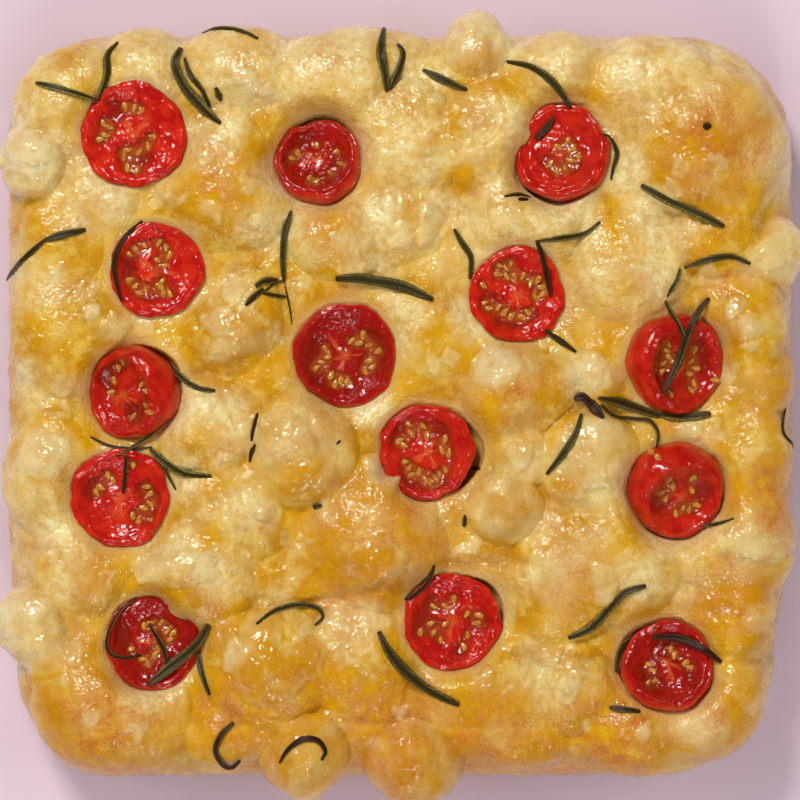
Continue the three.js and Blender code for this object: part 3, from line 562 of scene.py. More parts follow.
def baked_crust():
    """Thin crust of a wheat dough brushed with oil: yellow gold where the oil sank in, cream and
    flaky where the dough stretched, orange to brown where it stood nearest the heat. Some of the
    cream is painted light, some of the brown painted shade between lobes, and the creases are
    painted darker as shade. Bubbles lift it as a film, pale at its margin, slick with oil and
    crinkled; painted highlights run along the crinkles, the margin is partly painted light, and
    the flakes are partly painted glints. Light scatters far into dough, the reds the farthest.
    The grain of flour and oil is 0.9 mm wide, which is coarser than it is on a real crust, so
    that it shows."""
    material, tree, shader = finish_of(
        "baked_crust", IOR=1.45, Metallic=0.0, Specular_IOR_Level=0.3, Subsurface_Scale=0.0018,
        Subsurface_Radius=(1.0, 0.6, 0.25), Coat_Weight=0.8, Coat_Roughness=0.08, Coat_IOR=1.47,
    )
    tree.links.new(attribute(tree, "depth"), shader.inputs["Subsurface Weight"])
    film, margin, tone = (attribute(tree, name) for name in ("film", "margin", "tone"))
    pale, toast_and_shade, bubble = (attribute(tree, name) for name in ("pale", "toast_and_shade", "bubble"))
    wall, pan, crease = (attribute(tree, name) for name in ("wall", "pan", "crease"))
    cloud = noise(tree, 12, detail=3)
    blotch = noise(tree, 5, detail=3, roughness=0.6)
    mottle = noise(tree, 2, detail=4, roughness=0.6)
    flake = noise(tree, 0.55, detail=2, roughness=0.6)
    grain = calc(tree, "ADD", noise(tree, 0.9, detail=1), noise(tree, 2.6, detail=1))
    wrinkle = noise(tree, 2.8, detail=1, distortion=1.2)
    swirl = noise(tree, 3.6, detail=1, distortion=0.5)

    fold = calc(tree, "ABSOLUTE", calc(tree, "SUBTRACT", swirl, 0.5))
    # thin lines on the films where the fold noise nears zero, for painted highlights along the crinkles
    crinkle_glint = times(tree, calc(tree, "SUBTRACT", 1.0, ramp(tree, fold, 0.0, 0.05)), film)
    light = times(tree, pale, times(tree, ramp(tree, mottle, 0.4, 0.6), 0.45, 0.45))
    browning_and_shade = times(tree, toast_and_shade, ramp(tree, times(tree, mottle, 0.4, blotch), 0.5, 0.85))
    # whitish specks: partly tiny pale blisters of the crust, partly painted glints
    flaky = times(tree, ramp(tree, flake, 0.45, 0.7), ramp(tree, blotch, 0.42, 0.62))
    toned = calc(tree, "ADD", tone, times(tree, noise(tree, 6, detail=1), 1.6, -0.85), clamp=True)
    gold = blend_colour(tree, "#dda808", "#cc9204", ramp(tree, cloud, 0.35, 0.65))
    skin = blend_colour(tree, "#e8deb2", "#d09420", toned)
    baked = layered(
        tree, gold,
        ("#e8cb5c", times(tree, ramp(tree, blotch, 0.46, 0.64), 0.5)),  # dapples
        # pale dough where it stretched, and partly painted light on lobes that face the window
        ("#f4e9b6", light),  # dough that stretched
        # browned crust, and in some patches painted shade between lobes
        ("#cd7f10", browning_and_shade), ("#bd6a16", ramp(tree, browning_and_shade, 0.8, 1.3)),  # browned tops
        ("#e6d39a", times(tree, bubble, 0.45)),  # small bubbles
        # flakes, partly tiny pale blisters and partly painted glints on the pale dough
        ("#f9f0cf", times(tree, flaky, times(tree, light, 0.4, 0.12))),  # flakes
        (skin, times(tree, film, 0.48)),  # films
        # painted highlight: thin whitish lines along the films' crinkles
        ("#efe3c0", times(tree, crinkle_glint, ramp(tree, blotch, 0.45, 0.9))),  # their crinkles
        # pale film margins: the thin edge's own paleness, and painted light shining through it
        ("#e0cc98", times(tree, margin, times(tree, tone, -0.35, 0.6))),  # their margins
        # pale pocket walls: paler unbaked dough, and partly painted light
        ("#d8bb84", times(tree, wall, 0.45)),  # walls of the pockets
        # painted shade, darker brown along the creases between lobes
        ("#b3741f", times(tree, crease, 0.4)),  # creases
        ("#b1742c", times(tree, pan, 0.8)),  # what lay against the pan
    )
    tree.links.new(baked, shader.inputs["Base Color"])

    oiled = times(tree, mottle, 0.3, 0.25)
    tree.links.new(times(tree, film, -0.28, oiled, clamp=True), shader.inputs["Roughness"])
    crumpled = times(tree, calc(tree, "ADD", wrinkle, fold), film)
    grainy = times(tree, grain, times(tree, film, -0.8, 1.0))
    bump(tree, shader, (crumpled, 0.25), (grainy, 0.3))
    bump(tree, shader, (crumpled, 0.45), (grainy, 0.3), onto="Coat Normal")
    return material


def roasted_tomato():
    """Ripe tomato after an hour's heat: glossy skin, a bright wall of flesh inside it, paler
    fibres in the middle, and jelly, amber round the seeds and dark red away from them, a red
    that is partly painted shade of the chambers' depth. It is wet all over."""
    material, tree, shader = finish_of(
        "roasted_tomato", IOR=1.38, Metallic=0.0, Subsurface_Weight=0.2, Subsurface_Scale=0.0015,
        Subsurface_Radius=(1.0, 0.2, 0.08), Coat_Weight=0.8, Coat_Roughness=0.05, Coat_IOR=1.4,
    )
    skin, chamber, amber = (attribute(tree, name) for name in ("skin", "chamber", "amber"))
    fibres, ripe = (attribute(tree, name) for name in ("fibres", "ripe"))
    grain = noise(tree, 0.9, detail=3, distortion=0.6)
    patchy = ramp(tree, noise(tree, 3.5, detail=3), 0.35, 0.65)
    fleshy = layered(
        tree, "#b90f06",
        ("#d3270b", patchy), ("#980b05", ripe),  # flesh
        ("#de6a30", times(tree, fibres, 0.55)),
        # jelly: amber round the seeds; its dark red away from them is partly painted shade of the
        # chambers' depth
        (blend_colour(tree, "#861a06", "#a64c14", amber), times(tree, chamber, 0.85)),  # jelly
        (blend_colour(tree, "#b00e04", "#c92106", patchy), skin),
    )
    tree.links.new(fleshy, shader.inputs["Base Color"])
    tree.links.new(times(tree, grain, 0.2, 0.12), shader.inputs["Roughness"])
    bump(tree, shader, (noise(tree, 2.2, detail=2, distortion=0.5), 0.3), (grain, 0.12))
    return material


def tomato_seed():
    """A seed in its jelly: straw-coloured, flat, browner at its edge, with a slick coat."""
    material, tree, shader = finish_of(
        "tomato_seed", IOR=1.4, Metallic=0.0, Roughness=0.25, Subsurface_Weight=0.2,
        Subsurface_Scale=0.001, Coat_Weight=0.7, Coat_Roughness=0.06,
    )
    straw = ramp(tree, noise(tree, 0.8), 0.35, 0.65)
    edged = layered(tree, "#b06f24", ("#cd9038", straw), ("#a85c1a", attribute(tree, "edge")))
    tree.links.new(edged, shader.inputs["Base Color"])
    return material


def baked_rosemary():
    """A rosemary needle dried by the oven: olive green on its rolled edges, partly their own colour
    and partly painted highlight, nearly black in the groove between them, brown where it dried
    and at its ends, pitted and faintly oily."""
    material, tree, shader = finish_of(
        "baked_rosemary", IOR=1.45, Metallic=0.0, Specular_IOR_Level=0.25, Coat_Weight=0.04,
        Coat_Roughness=0.2,
    )
    dry, tip, ridge_and_highlight = (attribute(tree, name) for name in ("dry", "tip", "ridge_and_highlight"))
    mottle = noise(tree, 0.4, detail=3)
    # olive on the upper rolled edges: partly their own colour, partly painted highlight
    edges = times(tree, ridge_and_highlight, ramp(tree, mottle, 0.3, 0.7))
    dried = layered(
        tree, blend_colour(tree, "#33290a", "#a89c44", edges),
        (blend_colour(tree, "#2c0e06", "#6e451e", edges), dry), ("#3c2510", times(tree, tip, 0.6)),
    )
    tree.links.new(dried, shader.inputs["Base Color"])
    tree.links.new(times(tree, mottle, 0.3, 0.25), shader.inputs["Roughness"])
    bump(tree, shader, (mottle, 0.1))
    return material


def painted_board():
    """The pale painted surface that the slab stands on."""
    material, _, shader = finish_of("painted_board", Roughness=0.5)
    shader.inputs["Base Color"].default_value = srgb("#e2ccdc")
    return material


# ---------------------------------------------------------------- the bread


def corner_radius(x, y):
    """The radius of the outline's corner in the quarter that a point lies in."""
    back = np.where(x < 0, CORNERS["back_left"], CORNERS["back_right"])
    front = np.where(x < 0, CORNERS["front_left"], CORNERS["front_right"])
    return np.where(y > 0, back, front)


def outline_centre(x, y, radius):
    """The middle of the corner's arc, or the foot on the straight, that a point is measured from."""
    drawn_in = np.where(x > 0, DRAWN_IN["right"], DRAWN_IN["left"]) * smoothstep(-y, 30, 65)
    reach_x, reach_y = HALF_WIDTH - drawn_in - radius, HALF_DEPTH - radius
    return np.clip(x, -reach_x, reach_x), np.clip(y, -reach_y, reach_y)


def beyond_shoulder(x, y):
    """How far inside the shoulder's inner edge a place lies, or outside it where that is below 0."""
    radius = corner_radius(x, y)
    centre_x, centre_y = outline_centre(x, y, radius)
    return radius - np.hypot(x - centre_x, y - centre_y) - SHOULDER


def crown_height(x, y):
    """The top between lobes: it falls with the square of the distance from the middle."""
    return CROWN - CROWN_FALL * np.maximum((x / HALF_WIDTH) ** 2, (y / HALF_DEPTH) ** 2)


def slab_height(x, y):
    """Height of the bare slab over the plan: the shoulder is a quarter of an ellipse."""
    out = np.clip(-beyond_shoulder(x, y) / SHOULDER, 0, 1)
    return WIDEST + (crown_height(x, y) - WIDEST) * np.sqrt(1 - out * out)


def shoulder_edge(s, t):
    """For s, t on the rim of the square -1..1: the shoulder's inner edge, and the way out."""
    x, y = s * (HALF_WIDTH - SHOULDER), t * (HALF_DEPTH - SHOULDER)
    radius = corner_radius(s, t)
    centre_x, centre_y = outline_centre(x, y, radius)
    away = np.hypot(x - centre_x, y - centre_y)
    out_x, out_y = (x - centre_x) / away, (y - centre_y) / away
    reach = radius - SHOULDER
    return centre_x + out_x * reach, centre_y + out_y * reach, out_x, out_y


def slab_grid():
    """Points and faces of the bare slab. A square grid s, t is pressed into the rounded outline,
    by the fourth power of its distance from the middle; rings go on down the shoulder, a quarter
    of an ellipse, the side, and the rounded foot; a fan closes the base."""
    step = np.linspace(-1, 1, CELLS + 1)
    s, t = (a.ravel() for a in np.meshgrid(step, step))
    ring = np.maximum(abs(s), abs(t))
    whole = np.where(ring > 0, ring, 1)
    edge_x, edge_y, _, _ = shoulder_edge(np.where(ring > 0, s / whole, 1), t / whole)
    press = ring ** 4
    x = mix(s * (HALF_WIDTH - SHOULDER), edge_x * ring, press)
    y = mix(t * (HALF_DEPTH - SHOULDER), edge_y * ring, press)
    blocks = [np.stack([x, y, crown_height(x, y)], axis=1)]
    numbers = np.arange((CELLS + 1) ** 2).reshape(CELLS + 1, CELLS + 1)
    cells = [numbers[:-1, :-1], numbers[:-1, 1:], numbers[1:, 1:], numbers[1:, :-1]]
    quads = [np.stack(cells, axis=-1).reshape(-1, 4)]

    above = np.concatenate([numbers[0, :-1], numbers[:-1, -1], numbers[-1, :0:-1], numbers[:0:-1, 0]])
    edge_x, edge_y, out_x, out_y = shoulder_edge(s[above], t[above])
    crown = crown_height(edge_x, edge_y)
    profile = []
    for k in range(1, SHOULDER_RINGS + 1):
        angle = k / SHOULDER_RINGS * np.pi / 2
        profile.append((SHOULDER * np.sin(angle), WIDEST + (crown - WIDEST) * np.cos(angle)))
    for k in range(1, SIDE_RINGS + 1):
        down = k / SIDE_RINGS
        profile.append((SHOULDER - TUCK * down ** 2, mix(WIDEST, FOOT, down)))
    for k in range(1, FOOT_RINGS + 1):
        angle = k / FOOT_RINGS * np.pi / 2
        profile.append((SHOULDER - TUCK - FOOT * (1 - np.cos(angle)), FOOT * (1 - np.sin(angle))))
    count = len(blocks[0])
    for out, height in profile:
        heights = np.broadcast_to(height, edge_x.shape)
        blocks.append(np.stack([edge_x + out_x * out, edge_y + out_y * out, heights], axis=1))
        below = count + np.arange(len(above))
        quads.append(band(below, above))
        above, count = below, count + len(above)
    blocks.append(np.zeros((1, 3)))
    fan = np.stack([above, np.full(len(above), count), np.roll(above, -1)], axis=1)
    return np.concatenate(blocks), np.concatenate(quads), fan


def domes(points, rows):
    """For each row of x, y, radius: 1 - (d / radius)^2 at every point, but not below 0, for the
    distance d from a middle on the bare slab."""
    for x, y, radius in rows:
        middle = np.array([x, y, slab_height(np.array(x), np.array(y))])
        yield np.clip(1 - ((points - middle) ** 2).sum(axis=1) / radius ** 2, 0, None)


def swell(points, rows, fullness):
    """The lift of each dome of the rows, rise times its share to the power of its fullness, as
    the sum of their powers."""
    shares = domes(points, [row[:3] for row in rows])
    return sum((row[3] * share ** fullness) ** LOBE_BLEND for row, share in zip(rows, shares))


def patches(points, rows):
    """The strongest of soft round patches at every point: much times 1 - d^2 / r^2 over the plan."""
    strongest = np.zeros(len(points))
    for across, down, radius, much in rows:
        x, y = from_plan(across, down)
        away = ((points[:, 0] - x) ** 2 + (points[:, 1] - y) ** 2) / (radius * RULE) ** 2
        strongest = np.maximum(strongest, much * np.clip(1 - away, 0, 1))
    return strongest


def scattered_bubbles():
    """Bubbles at random over the top, as rows like BUBBLES, most of them small."""
    rng = np.random.default_rng(11)
    across, down = rng.uniform(10, 790, STRAY_BUBBLES), rng.uniform(45, 750, STRAY_BUBBLES)
    radius = 5 + 9 * rng.power(0.6, STRAY_BUBBLES)
    rise = radius * RULE * rng.uniform(0.12, 0.3, STRAY_BUBBLES)
    return np.stack([across, down, radius, rise], axis=1)


def off_tomatoes(x, y, radius):
    """How far a circle on the plan lies from the nearest tomato's edge."""
    return min(math.hypot(x - t.x, y - t.y) - t.radius - radius for t in tomatoes)


def fine_swelling(points):
    """Lift and marks of the films and bubbles. A film is a dome whose share goes to the power of
    its fullness, and a blister has the marks of one. Films carry two sets of ridges, where smooth
    noise crosses zero. A small bubble is a flat dome whose outline wanders."""
    lift = np.zeros(len(points))
    film, margin, tone, bubble = (np.zeros(len(points)) for _ in range(4))
    films = [(x, y, radius, 0, SKIN_GOLD["front" if y < FRONT_BLISTERS else "elsewhere"])
             for x, y, radius, _ in BLISTERS]
    films += [(*from_plan(across, down), radius * RULE, rise, golden)
              for across, down, radius, rise, golden in FILMS]
    warped = points + 0.5 * np.stack([ripple(points, 5, seed) for seed in (6, 7, 8)], axis=1)
    shares = domes(warped, [row[:3] for row in films])
    for (*_, rise, golden), share in zip(films, shares):
        cover = smoothstep(share, 0, 0.6)
        lift = np.maximum(lift, FILM_RISE * rise * share ** FILM_FULLNESS)
        tone = mix(tone, golden, cover)
        margin = mix(margin, 1 - smoothstep(share, 0.08, 0.35), cover)
        film = np.maximum(film, cover * (1 if rise else BLISTER_FILM))
    ridges = 1 - np.clip(abs(ripple(points, 9, 41)) / 0.6, 0, 1)
    wrinkles = 1 - np.clip(abs(ripple(points, 4, 42)) / 0.9, 0, 1)
    wrinkled = smoothstep(ripple(points, 8, 43), -0.3, 0.6)
    lift += film * (FILM_RIDGE * ridges ** 2 + FILM_WRINKLE * wrinkles ** 2 * wrinkled)
    plan = points[:, :2] + 0.9 * np.stack([ripple(points, 4, seed) for seed in (4, 5)], axis=1)
    for across, down, radius, rise in [*BUBBLES, *scattered_bubbles()]:
        x, y = from_plan(across, down)
        if off_tomatoes(x, y, radius * RULE) < 0.3:
            continue
        away = ((plan - (x, y)) ** 2).sum(axis=1) / (radius * RULE) ** 2
        share = np.clip(1 - away, 0, 1) * (points[:, 2] > WIDEST)
        lift = np.maximum(lift, BUBBLE_RISE * rise * share)
        bubble = np.maximum(bubble, share)
    marks = {"film": film, "margin": margin * film, "tone": tone, "bubble": bubble * (1 - film)}
    return lift, marks


def crease_depth(points):
    """How deep the creases are at each point: depth times a bell curve about each line, which
    wanders by smooth noise."""
    deep = np.zeros(len(points))
    plan = points[:, :2] + 0.8 * np.stack([ripple(points, 9, seed) for seed in (51, 52)], axis=1)
    for depth, *corners in CREASES:
        line = [np.array(from_plan(*corner)) for corner in corners]
        nearest = np.full(len(points), np.inf)
        for start, end in zip(line[:-1], line[1:]):
            along = np.clip((plan - start) @ (end - start) / ((end - start) ** 2).sum(), 0, 1)
            foot = start + along[:, None] * (end - start)
            nearest = np.minimum(nearest, ((plan - foot) ** 2).sum(axis=1))
        deep = np.maximum(deep, depth * np.exp(-nearest / CREASE_WIDTH ** 2))
    return deep * (points[:, 2] > WIDEST)


def facing(angle, direction):
    """The difference between directions in radians and one in degrees, within half a turn."""
    return (angle - math.radians(direction) + np.pi) % TURN - np.pi


def sink_pockets(points):
    """Rolls the crust down to each tomato, a little steeper than a parabola, and under it into a
    bowl. Where dough swells over the tomato, it comes further in and ends above the cut face.
    Returns how far each point belongs to a pocket's wall."""
    wall = np.zeros(len(points))
    for tomato in tomatoes:
        dx, dy = points[:, 0] - tomato.x, points[:, 1] - tomato.y
        angle, away = np.arctan2(dy, dx), np.hypot(dx, dy)
        room = tomato.radius * tomato.pucker(angle) - TUCKED_UNDER
        contact = tomato.ring_height(points[:, 0], points[:, 1]) + CONTACT
        for number, direction, width in GAPES:
            if number == tomato.number:
                side = np.clip(np.cos(angle - math.radians(direction)), 0, 1)
                room += (width + TUCKED_UNDER) * side ** 3
        for number, direction, reach, width in OVERHANGS:
            if number == tomato.number:
                over = np.exp(-(facing(angle, direction) / width) ** 2)
                room -= reach * over
                contact += (tomato.rim(math.radians(direction))[2] + OVERHANG_ABOVE) * over
        depth = tomato.radius * TOMATO_DEPTH
        bowl = contact - depth * np.sqrt(np.clip(1 - (away / room) ** 2, 0, 1))
        roll = np.clip((away - room - ROLL_START) / ROLL_WIDTH, 0, 1)
        lip = mix(contact, points[:, 2], (1 - (1 - roll) ** 2) ** 0.8)
        near = (away < room + ROLL_START + ROLL_WIDTH) & (points[:, 2] > 5)
        points[:, 2] = np.where(near, np.where(away < room, bowl, lip), points[:, 2])
        wall = np.maximum(wall, near * (1 - smoothstep(away - room, 1.1, 3.6)))
    return wall


def bread():
    """The crust: the bare slab moved along its normals by a soft maximum of domes, the root of
    the sum of their powers. The domes' edges wander by smooth noise."""
    points, quads, fan = slab_grid()
    normals = vertex_normals(points, quads)
    far, length = LOBE_WANDER
    wander = np.stack([far * ripple(points, length, seed) for seed in (1, 2, 3)], axis=1)
    lobes = swell(points + wander, LOBES, LOBE_FULLNESS)
    blisters = swell(points + wander * BLISTER_WANDER, BLISTERS, BLISTER_FULLNESS)
    risen = (lobes + blisters) ** (1 / LOBE_BLEND)
    fine, marks = fine_swelling(points)
    creases = crease_depth(points)
    texture = sum(height * ripple(points, length, 21 + k)
                  for k, (height, length) in enumerate(TEXTURE))
    # pale patches are partly painted light, browned ones partly painted shade
    marks["pale"] = np.clip(patches(points, PALE_AND_LIT) + 0.15 * ripple(points, 12, 24), 0, 1)
    marks["toast_and_shade"] = np.clip(patches(points, BROWNED_AND_SHADED) * 1.2 + 0.1 * ripple(points, 9, 25), 0, 1)
    # where painted shade darkens the crust along the creases
    marks["crease"] = np.clip(creases, 0, 1)
    x, y, _ = points.T
    inside = beyond_shoulder(x, y)  # light fades at the joints of pieces, which it can't cross
    joint = np.where(inside > 0, np.minimum(inside, np.minimum(abs(x), abs(y))), -inside)
    marks["depth"] = GLOW * smoothstep(joint, *JOINT_FADE)
    lift = (risen + fine + texture - creases) * smoothstep(points[:, 2], 0, WIDEST)
    points = points + normals * lift[:, None]
    marks["wall"] = sink_pockets(points)
    marks["pan"] = (1 - smoothstep(points[:, 2], 3, 13)) * (normals[:, 2] < 0.5)

    finish, normals = baked_crust(), vertex_normals(points, quads)
    half, top = CELLS // 2, quads[:CELLS ** 2].reshape(CELLS, CELLS, 4)
    parts = {
        "crust_front_left": [top[:half, :half]], "crust_front_right": [top[:half, half:]],
        "crust_back_left": [top[half:, :half]], "crust_back_right": [top[half:, half:]],
        "crust_side_and_base": [quads[CELLS ** 2:], fan],
    }
    pieces = []
    for name, blocks in parts.items():
        blocks = [block.reshape(-1, block.shape[-1]) for block in blocks]
        used = np.unique(np.concatenate([block.ravel() for block in blocks]))
        faces = [np.searchsorted(used, block) for block in blocks]
        own = {key: values[used] for key, values in marks.items()}
        pieces.append(make_piece(name, points[used], faces, finish, own, normals[used]))
    for piece in pieces:
        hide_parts("bread")
    return pieces


# ---------------------------------------------------------------- tomato halves

TOMATO_SIDES = 144
SKIN_ROWS = 12
FACE_ROWS = 56

FLESH_AT = 0.89  # where the wall of flesh stands, as a share of the way from middle to rim
FLESH_WIDTH = 0.06
FLESH_RISE = 0.5
CHAMBER_DEPTH = 1.0
MIDDLE_RISE = 0.4  # how far the core swells up in the middle
SEED_SPREAD = 1.9  # radius of the jelly round a seed
JELLY_SPREAD = 2.1  # radius of jelly without a seed


class Tomato:
    """One half: its place, size and lean, with angles in radians."""

    def __init__(self, number, row):
        self.number = number
        self.x, self.y, self.z, self.radius = row[:4]
        self.lean_to, self.lean, self.cut, self.slant = (math.radians(angle) for angle in row[4:])
        self.shrunk = SHRUNK[number - 1]
        low, high = self.rim(self.lean_to), self.rim(self.lean_to + np.pi)
        self.middle = (low + high) / 2
        self.slope = (low[2] - high[2]) / np.linalg.norm((low - high)[:2])

    def pucker(self, angle):
        """How the skin draws in round the half, as a share of its radius: two sine waves."""
        return 1 + 0.02 * np.sin(3 * angle + self.x) + 0.012 * np.sin(7 * angle + self.y)

    def skin(self, angle, share):
        """Points of the skin, a squashed sphere, at directions round the half and at shares of
        the way from its bottom to the cut. The cut slants by the cosine of the direction."""
        polar = share * (self.cut - self.slant * np.cos(angle - self.lean_to))
        out = self.radius * np.sin(polar) * self.pucker(angle)
        up = -self.radius * TOMATO_DEPTH * np.cos(polar)
        return np.stack([out * np.cos(angle), out * np.sin(angle), up], axis=-1)

    def rim(self, angle):
        return self.skin(angle, 1)

    def ring_height(self, x, y):
        """Height of the plane of the widest ring over the plan."""
        towards = (x - self.x) * math.cos(self.lean_to) + (y - self.y) * math.sin(self.lean_to)
        return self.z - towards * math.tan(self.lean)

    def turned(self, points, angle):
        """Points turned by an angle about the axis that the half leans round."""
        axis = np.array([-math.sin(self.lean_to), math.cos(self.lean_to), 0])
        cos, sin = math.cos(angle), math.sin(angle)
        return points * cos + np.cross(axis, points) * sin + np.outer(points @ axis, axis) * (1 - cos)

    def placed(self, points):
        """Points about the half's own middle, leaned and moved to where the half lies."""
        return self.turned(points, self.lean) + (self.x, self.y, self.z)

    def on_face(self, spots_on_plan):
        """Places on the plan as places on the shrunken face, about the half's own middle. Two
        equations say where a point of that plane lands on the plan once it has leaned."""
        towards = np.array([math.cos(self.lean_to), math.sin(self.lean_to)])
        ways = self.turned(np.eye(3), self.lean)[:, :2]
        level = self.middle[2] - self.shrunk - self.slope * self.middle[:2] @ towards
        plan = np.array([from_plan(*spot) for spot in spots_on_plan]) - (self.x, self.y)
        sloped = ways[:2] + self.slope * np.outer(towards, ways[2])
        return (plan - level * ways[2]) @ np.linalg.inv(sloped)


tomatoes = [Tomato(k + 1, row) for k, row in enumerate(TOMATOES)]


def jelly_at(tomato, x, y):
    """How far a place belongs to a seed chamber, and to the bright jelly next to a seed: bell
    curves round every seed, added up and eased into a step."""

    def bells(spots_on_plan, spread):
        return sum(np.exp(-((x - u) ** 2 + (y - v) ** 2) / spread ** 2)
                   for u, v in tomato.on_face(spots_on_plan))

    near_seeds = bells(SEEDS[tomato.number - 1], SEED_SPREAD)
    jelly = bells(JELLY[tomato.number - 1], JELLY_SPREAD)
    return smoothstep(near_seeds + jelly, 0.15, 1.35), smoothstep(near_seeds, 0.3, 1.3)


def tomato_half(tomato, material):
    """A half on a grid of angle and row. Rows run up the skin, over a thin rim and a wrinkled
    wall of flesh, and across the face to its middle: a dish with sunken chambers."""
    angle = np.arange(TOMATO_SIDES) / TOMATO_SIDES * TURN
    along = np.linspace(0, 1, SKIN_ROWS + 1)[1:, None]
    share = np.linspace(1, 0, FACE_ROWS + 1)[1:-1, None]
    rim = tomato.rim(angle)
    crimp = 0.012 * ripple(rim, 5, 60 + tomato.number) + 0.006 * ripple(rim, 2.2, 80 + tomato.number)
    skin = tomato.skin(angle[None, :], along)
    skin[..., :2] *= 1 + (crimp * smoothstep(along, 0.7, 1))[..., None]
    inner = mix(tomato.middle, skin[-1], share[..., None])
    flat = inner.reshape(-1, 3)
    wobble = ripple(flat, 6, tomato.number).reshape(inner.shape[:2])
    fine = ripple(flat, 1.5, 40 + tomato.number).reshape(inner.shape[:2])
    x, y = inner[..., 0], inner[..., 1]
    chamber, amber = jelly_at(tomato, x + 0.2 * wobble, y + 0.15 * fine)
    chamber *= 1 - smoothstep(share, 0.78, 0.88)
    flesh = np.exp(-((share - FLESH_AT - 0.015 * wobble) / FLESH_WIDTH) ** 2)
    core = np.exp(-(share / 0.25) ** 2)
    dish = tomato.shrunk * (1 - smoothstep(share, 0.5, 0.88)) - MIDDLE_RISE * core
    height = FLESH_RISE * flesh * (1 + 0.3 * wobble) - dish - CHAMBER_DEPTH * chamber
    height += (0.08 * fine + 0.08 * wobble) * (1 - smoothstep(share, 0.97, 1))
    inner[..., 2] += height

    round_stem = np.stack([1.9 * np.cos(angle), 1.9 * np.sin(angle), 0 * angle], axis=1)
    streak = smoothstep(ripple(round_stem, 1, 20 + tomato.number), 0.3, 1.2)
    spread = 1 - smoothstep(share, 0.2, 0.55)
    fibres = streak * spread * (1 - chamber) + np.exp(-(share / 0.1) ** 2)
    bottom = [0, 0, -tomato.radius * TOMATO_DEPTH]
    middle = [*tomato.middle[:2], inner[-1, :, 2].mean()]
    points = np.concatenate([skin.reshape(-1, 3), inner.reshape(-1, 3), [bottom, middle]])
    count = len(points) - 2
    quads, fans = capped_rings(np.arange(count).reshape(-1, TOMATO_SIDES), count, count + 1)

    def marked(on_skin, on_face, at_bottom, at_middle):
        """A number at every point, from what it is on the skin, the face and the two ends."""
        on_skin = np.broadcast_to(on_skin, skin.shape[:2]).ravel()
        on_face = np.broadcast_to(on_face, inner.shape[:2]).ravel()
        return np.concatenate([on_skin, on_face, [at_bottom, at_middle]])

    ripe = RIPE[tomato.number - 1]
    marks = {
        "skin": marked(1.0, smoothstep(share, 0.95, 0.99), 1, 0),
        "chamber": marked(0.0, chamber, 0, 0),
        "amber": marked(0.0, amber * AMBER[tomato.number - 1], 0, 0),
        "fibres": marked(0.0, np.clip(fibres, 0, 1), 0, 1),
        "ripe": marked(ripe, ripe, ripe, ripe),
    }
    name = f"tomato_half_{tomato.number:02d}"
    piece = make_piece(name, tomato.placed(points), [quads, fans], material, marks)
    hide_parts(f"tomato_{tomato.number:02d}")
    return piece


SEED_SIDES = 12
SEED_ROWS = 9
SEED_THICKNESS = 0.9
SEED_RISE = 0.12  # how far above the jelly a seed's middle lies


def seed_shape(length, width, thickness):
    """A flat drop about its own middle, pointed towards -X: rings along it whose half width is
    the root of sin, drawn in towards the point. Also how near each point is to its flat edge.
    The order of its rings makes the faces point inwards, a known fault."""
    along = np.linspace(0, 1, SEED_ROWS + 2)[1:-1]
    angle = np.arange(SEED_SIDES) / SEED_SIDES * TURN
    girth = np.sqrt(np.sin(np.pi * along)) * (0.45 + 0.55 * along)
    x = (along[:, None] - 0.5) * length + 0 * angle
    y = -girth[:, None] * np.cos(angle) * width / 2
    z = girth[:, None] * np.sin(angle) * thickness / 2
    body = np.stack([x, y, z], axis=-1).reshape(-1, 3)
    points = np.concatenate([body, [[-length / 2, 0, 0], [length / 2, 0, 0]]])
    edge = np.append((abs(np.cos(angle)) ** 8)[None, :].repeat(SEED_ROWS, axis=0).ravel(), [1, 1])
    numbers = np.arange(SEED_ROWS * SEED_SIDES).reshape(SEED_ROWS, SEED_SIDES)
    return points, *capped_rings(numbers, numbers.size, numbers.size + 1), edge


def seeds(halves, material):
    """Every seed of every half in one piece. Each lies in its jelly with its point towards the
    middle of the face, and tips at random."""
    rng = np.random.default_rng(5)
    all_points, all_quads, all_fans, all_edges = [], [], [], []
    count = 0
    for tomato, half in zip(tomatoes, halves):
        places = np.array([from_plan(*spot) for spot in SEEDS[tomato.number - 1]])
        for (x, y), z in zip(places, surface_below([half])(places)):
            length = rng.uniform(2.3, 2.9)
            width = length * rng.uniform(0.66, 0.78)
            points, quads, fans, edge = seed_shape(length, width, SEED_THICKNESS)
            heading = math.atan2(y - tomato.y, x - tomato.x) + rng.normal(0, 0.5)
            roll, pitch = rng.normal(0, 0.25), rng.normal(-0.1, 0.2)
            forward = np.array([math.cos(heading), math.sin(heading), math.sin(pitch)])
            side = np.array([-math.sin(heading), math.cos(heading), math.sin(roll)])
            up = np.cross(forward, side)
            all_points.append(points @ np.stack([forward, side, up]) + (x, y, z + SEED_RISE))
            all_quads.append(quads + count)
            all_fans.append(fans + count)
            all_edges.append(edge)
            count += len(points)
    faces = [np.concatenate(all_quads), np.concatenate(all_fans)]
    return make_piece("tomato_seeds", np.concatenate(all_points), faces, material,
                      {"edge": np.concatenate(all_edges)})


# ---------------------------------------------------------------- rosemary needles

NEEDLE_SIDES = 24
NEEDLE_ROWS = 30
NEEDLE_THICKNESS = 0.5  # of its width
THINNEST = 0.4  # even where a needle is narrower
PATH_STEPS = 24  # between two corners of a needle's path
STIFFNESS = 40  # how many times a needle's line is evened out


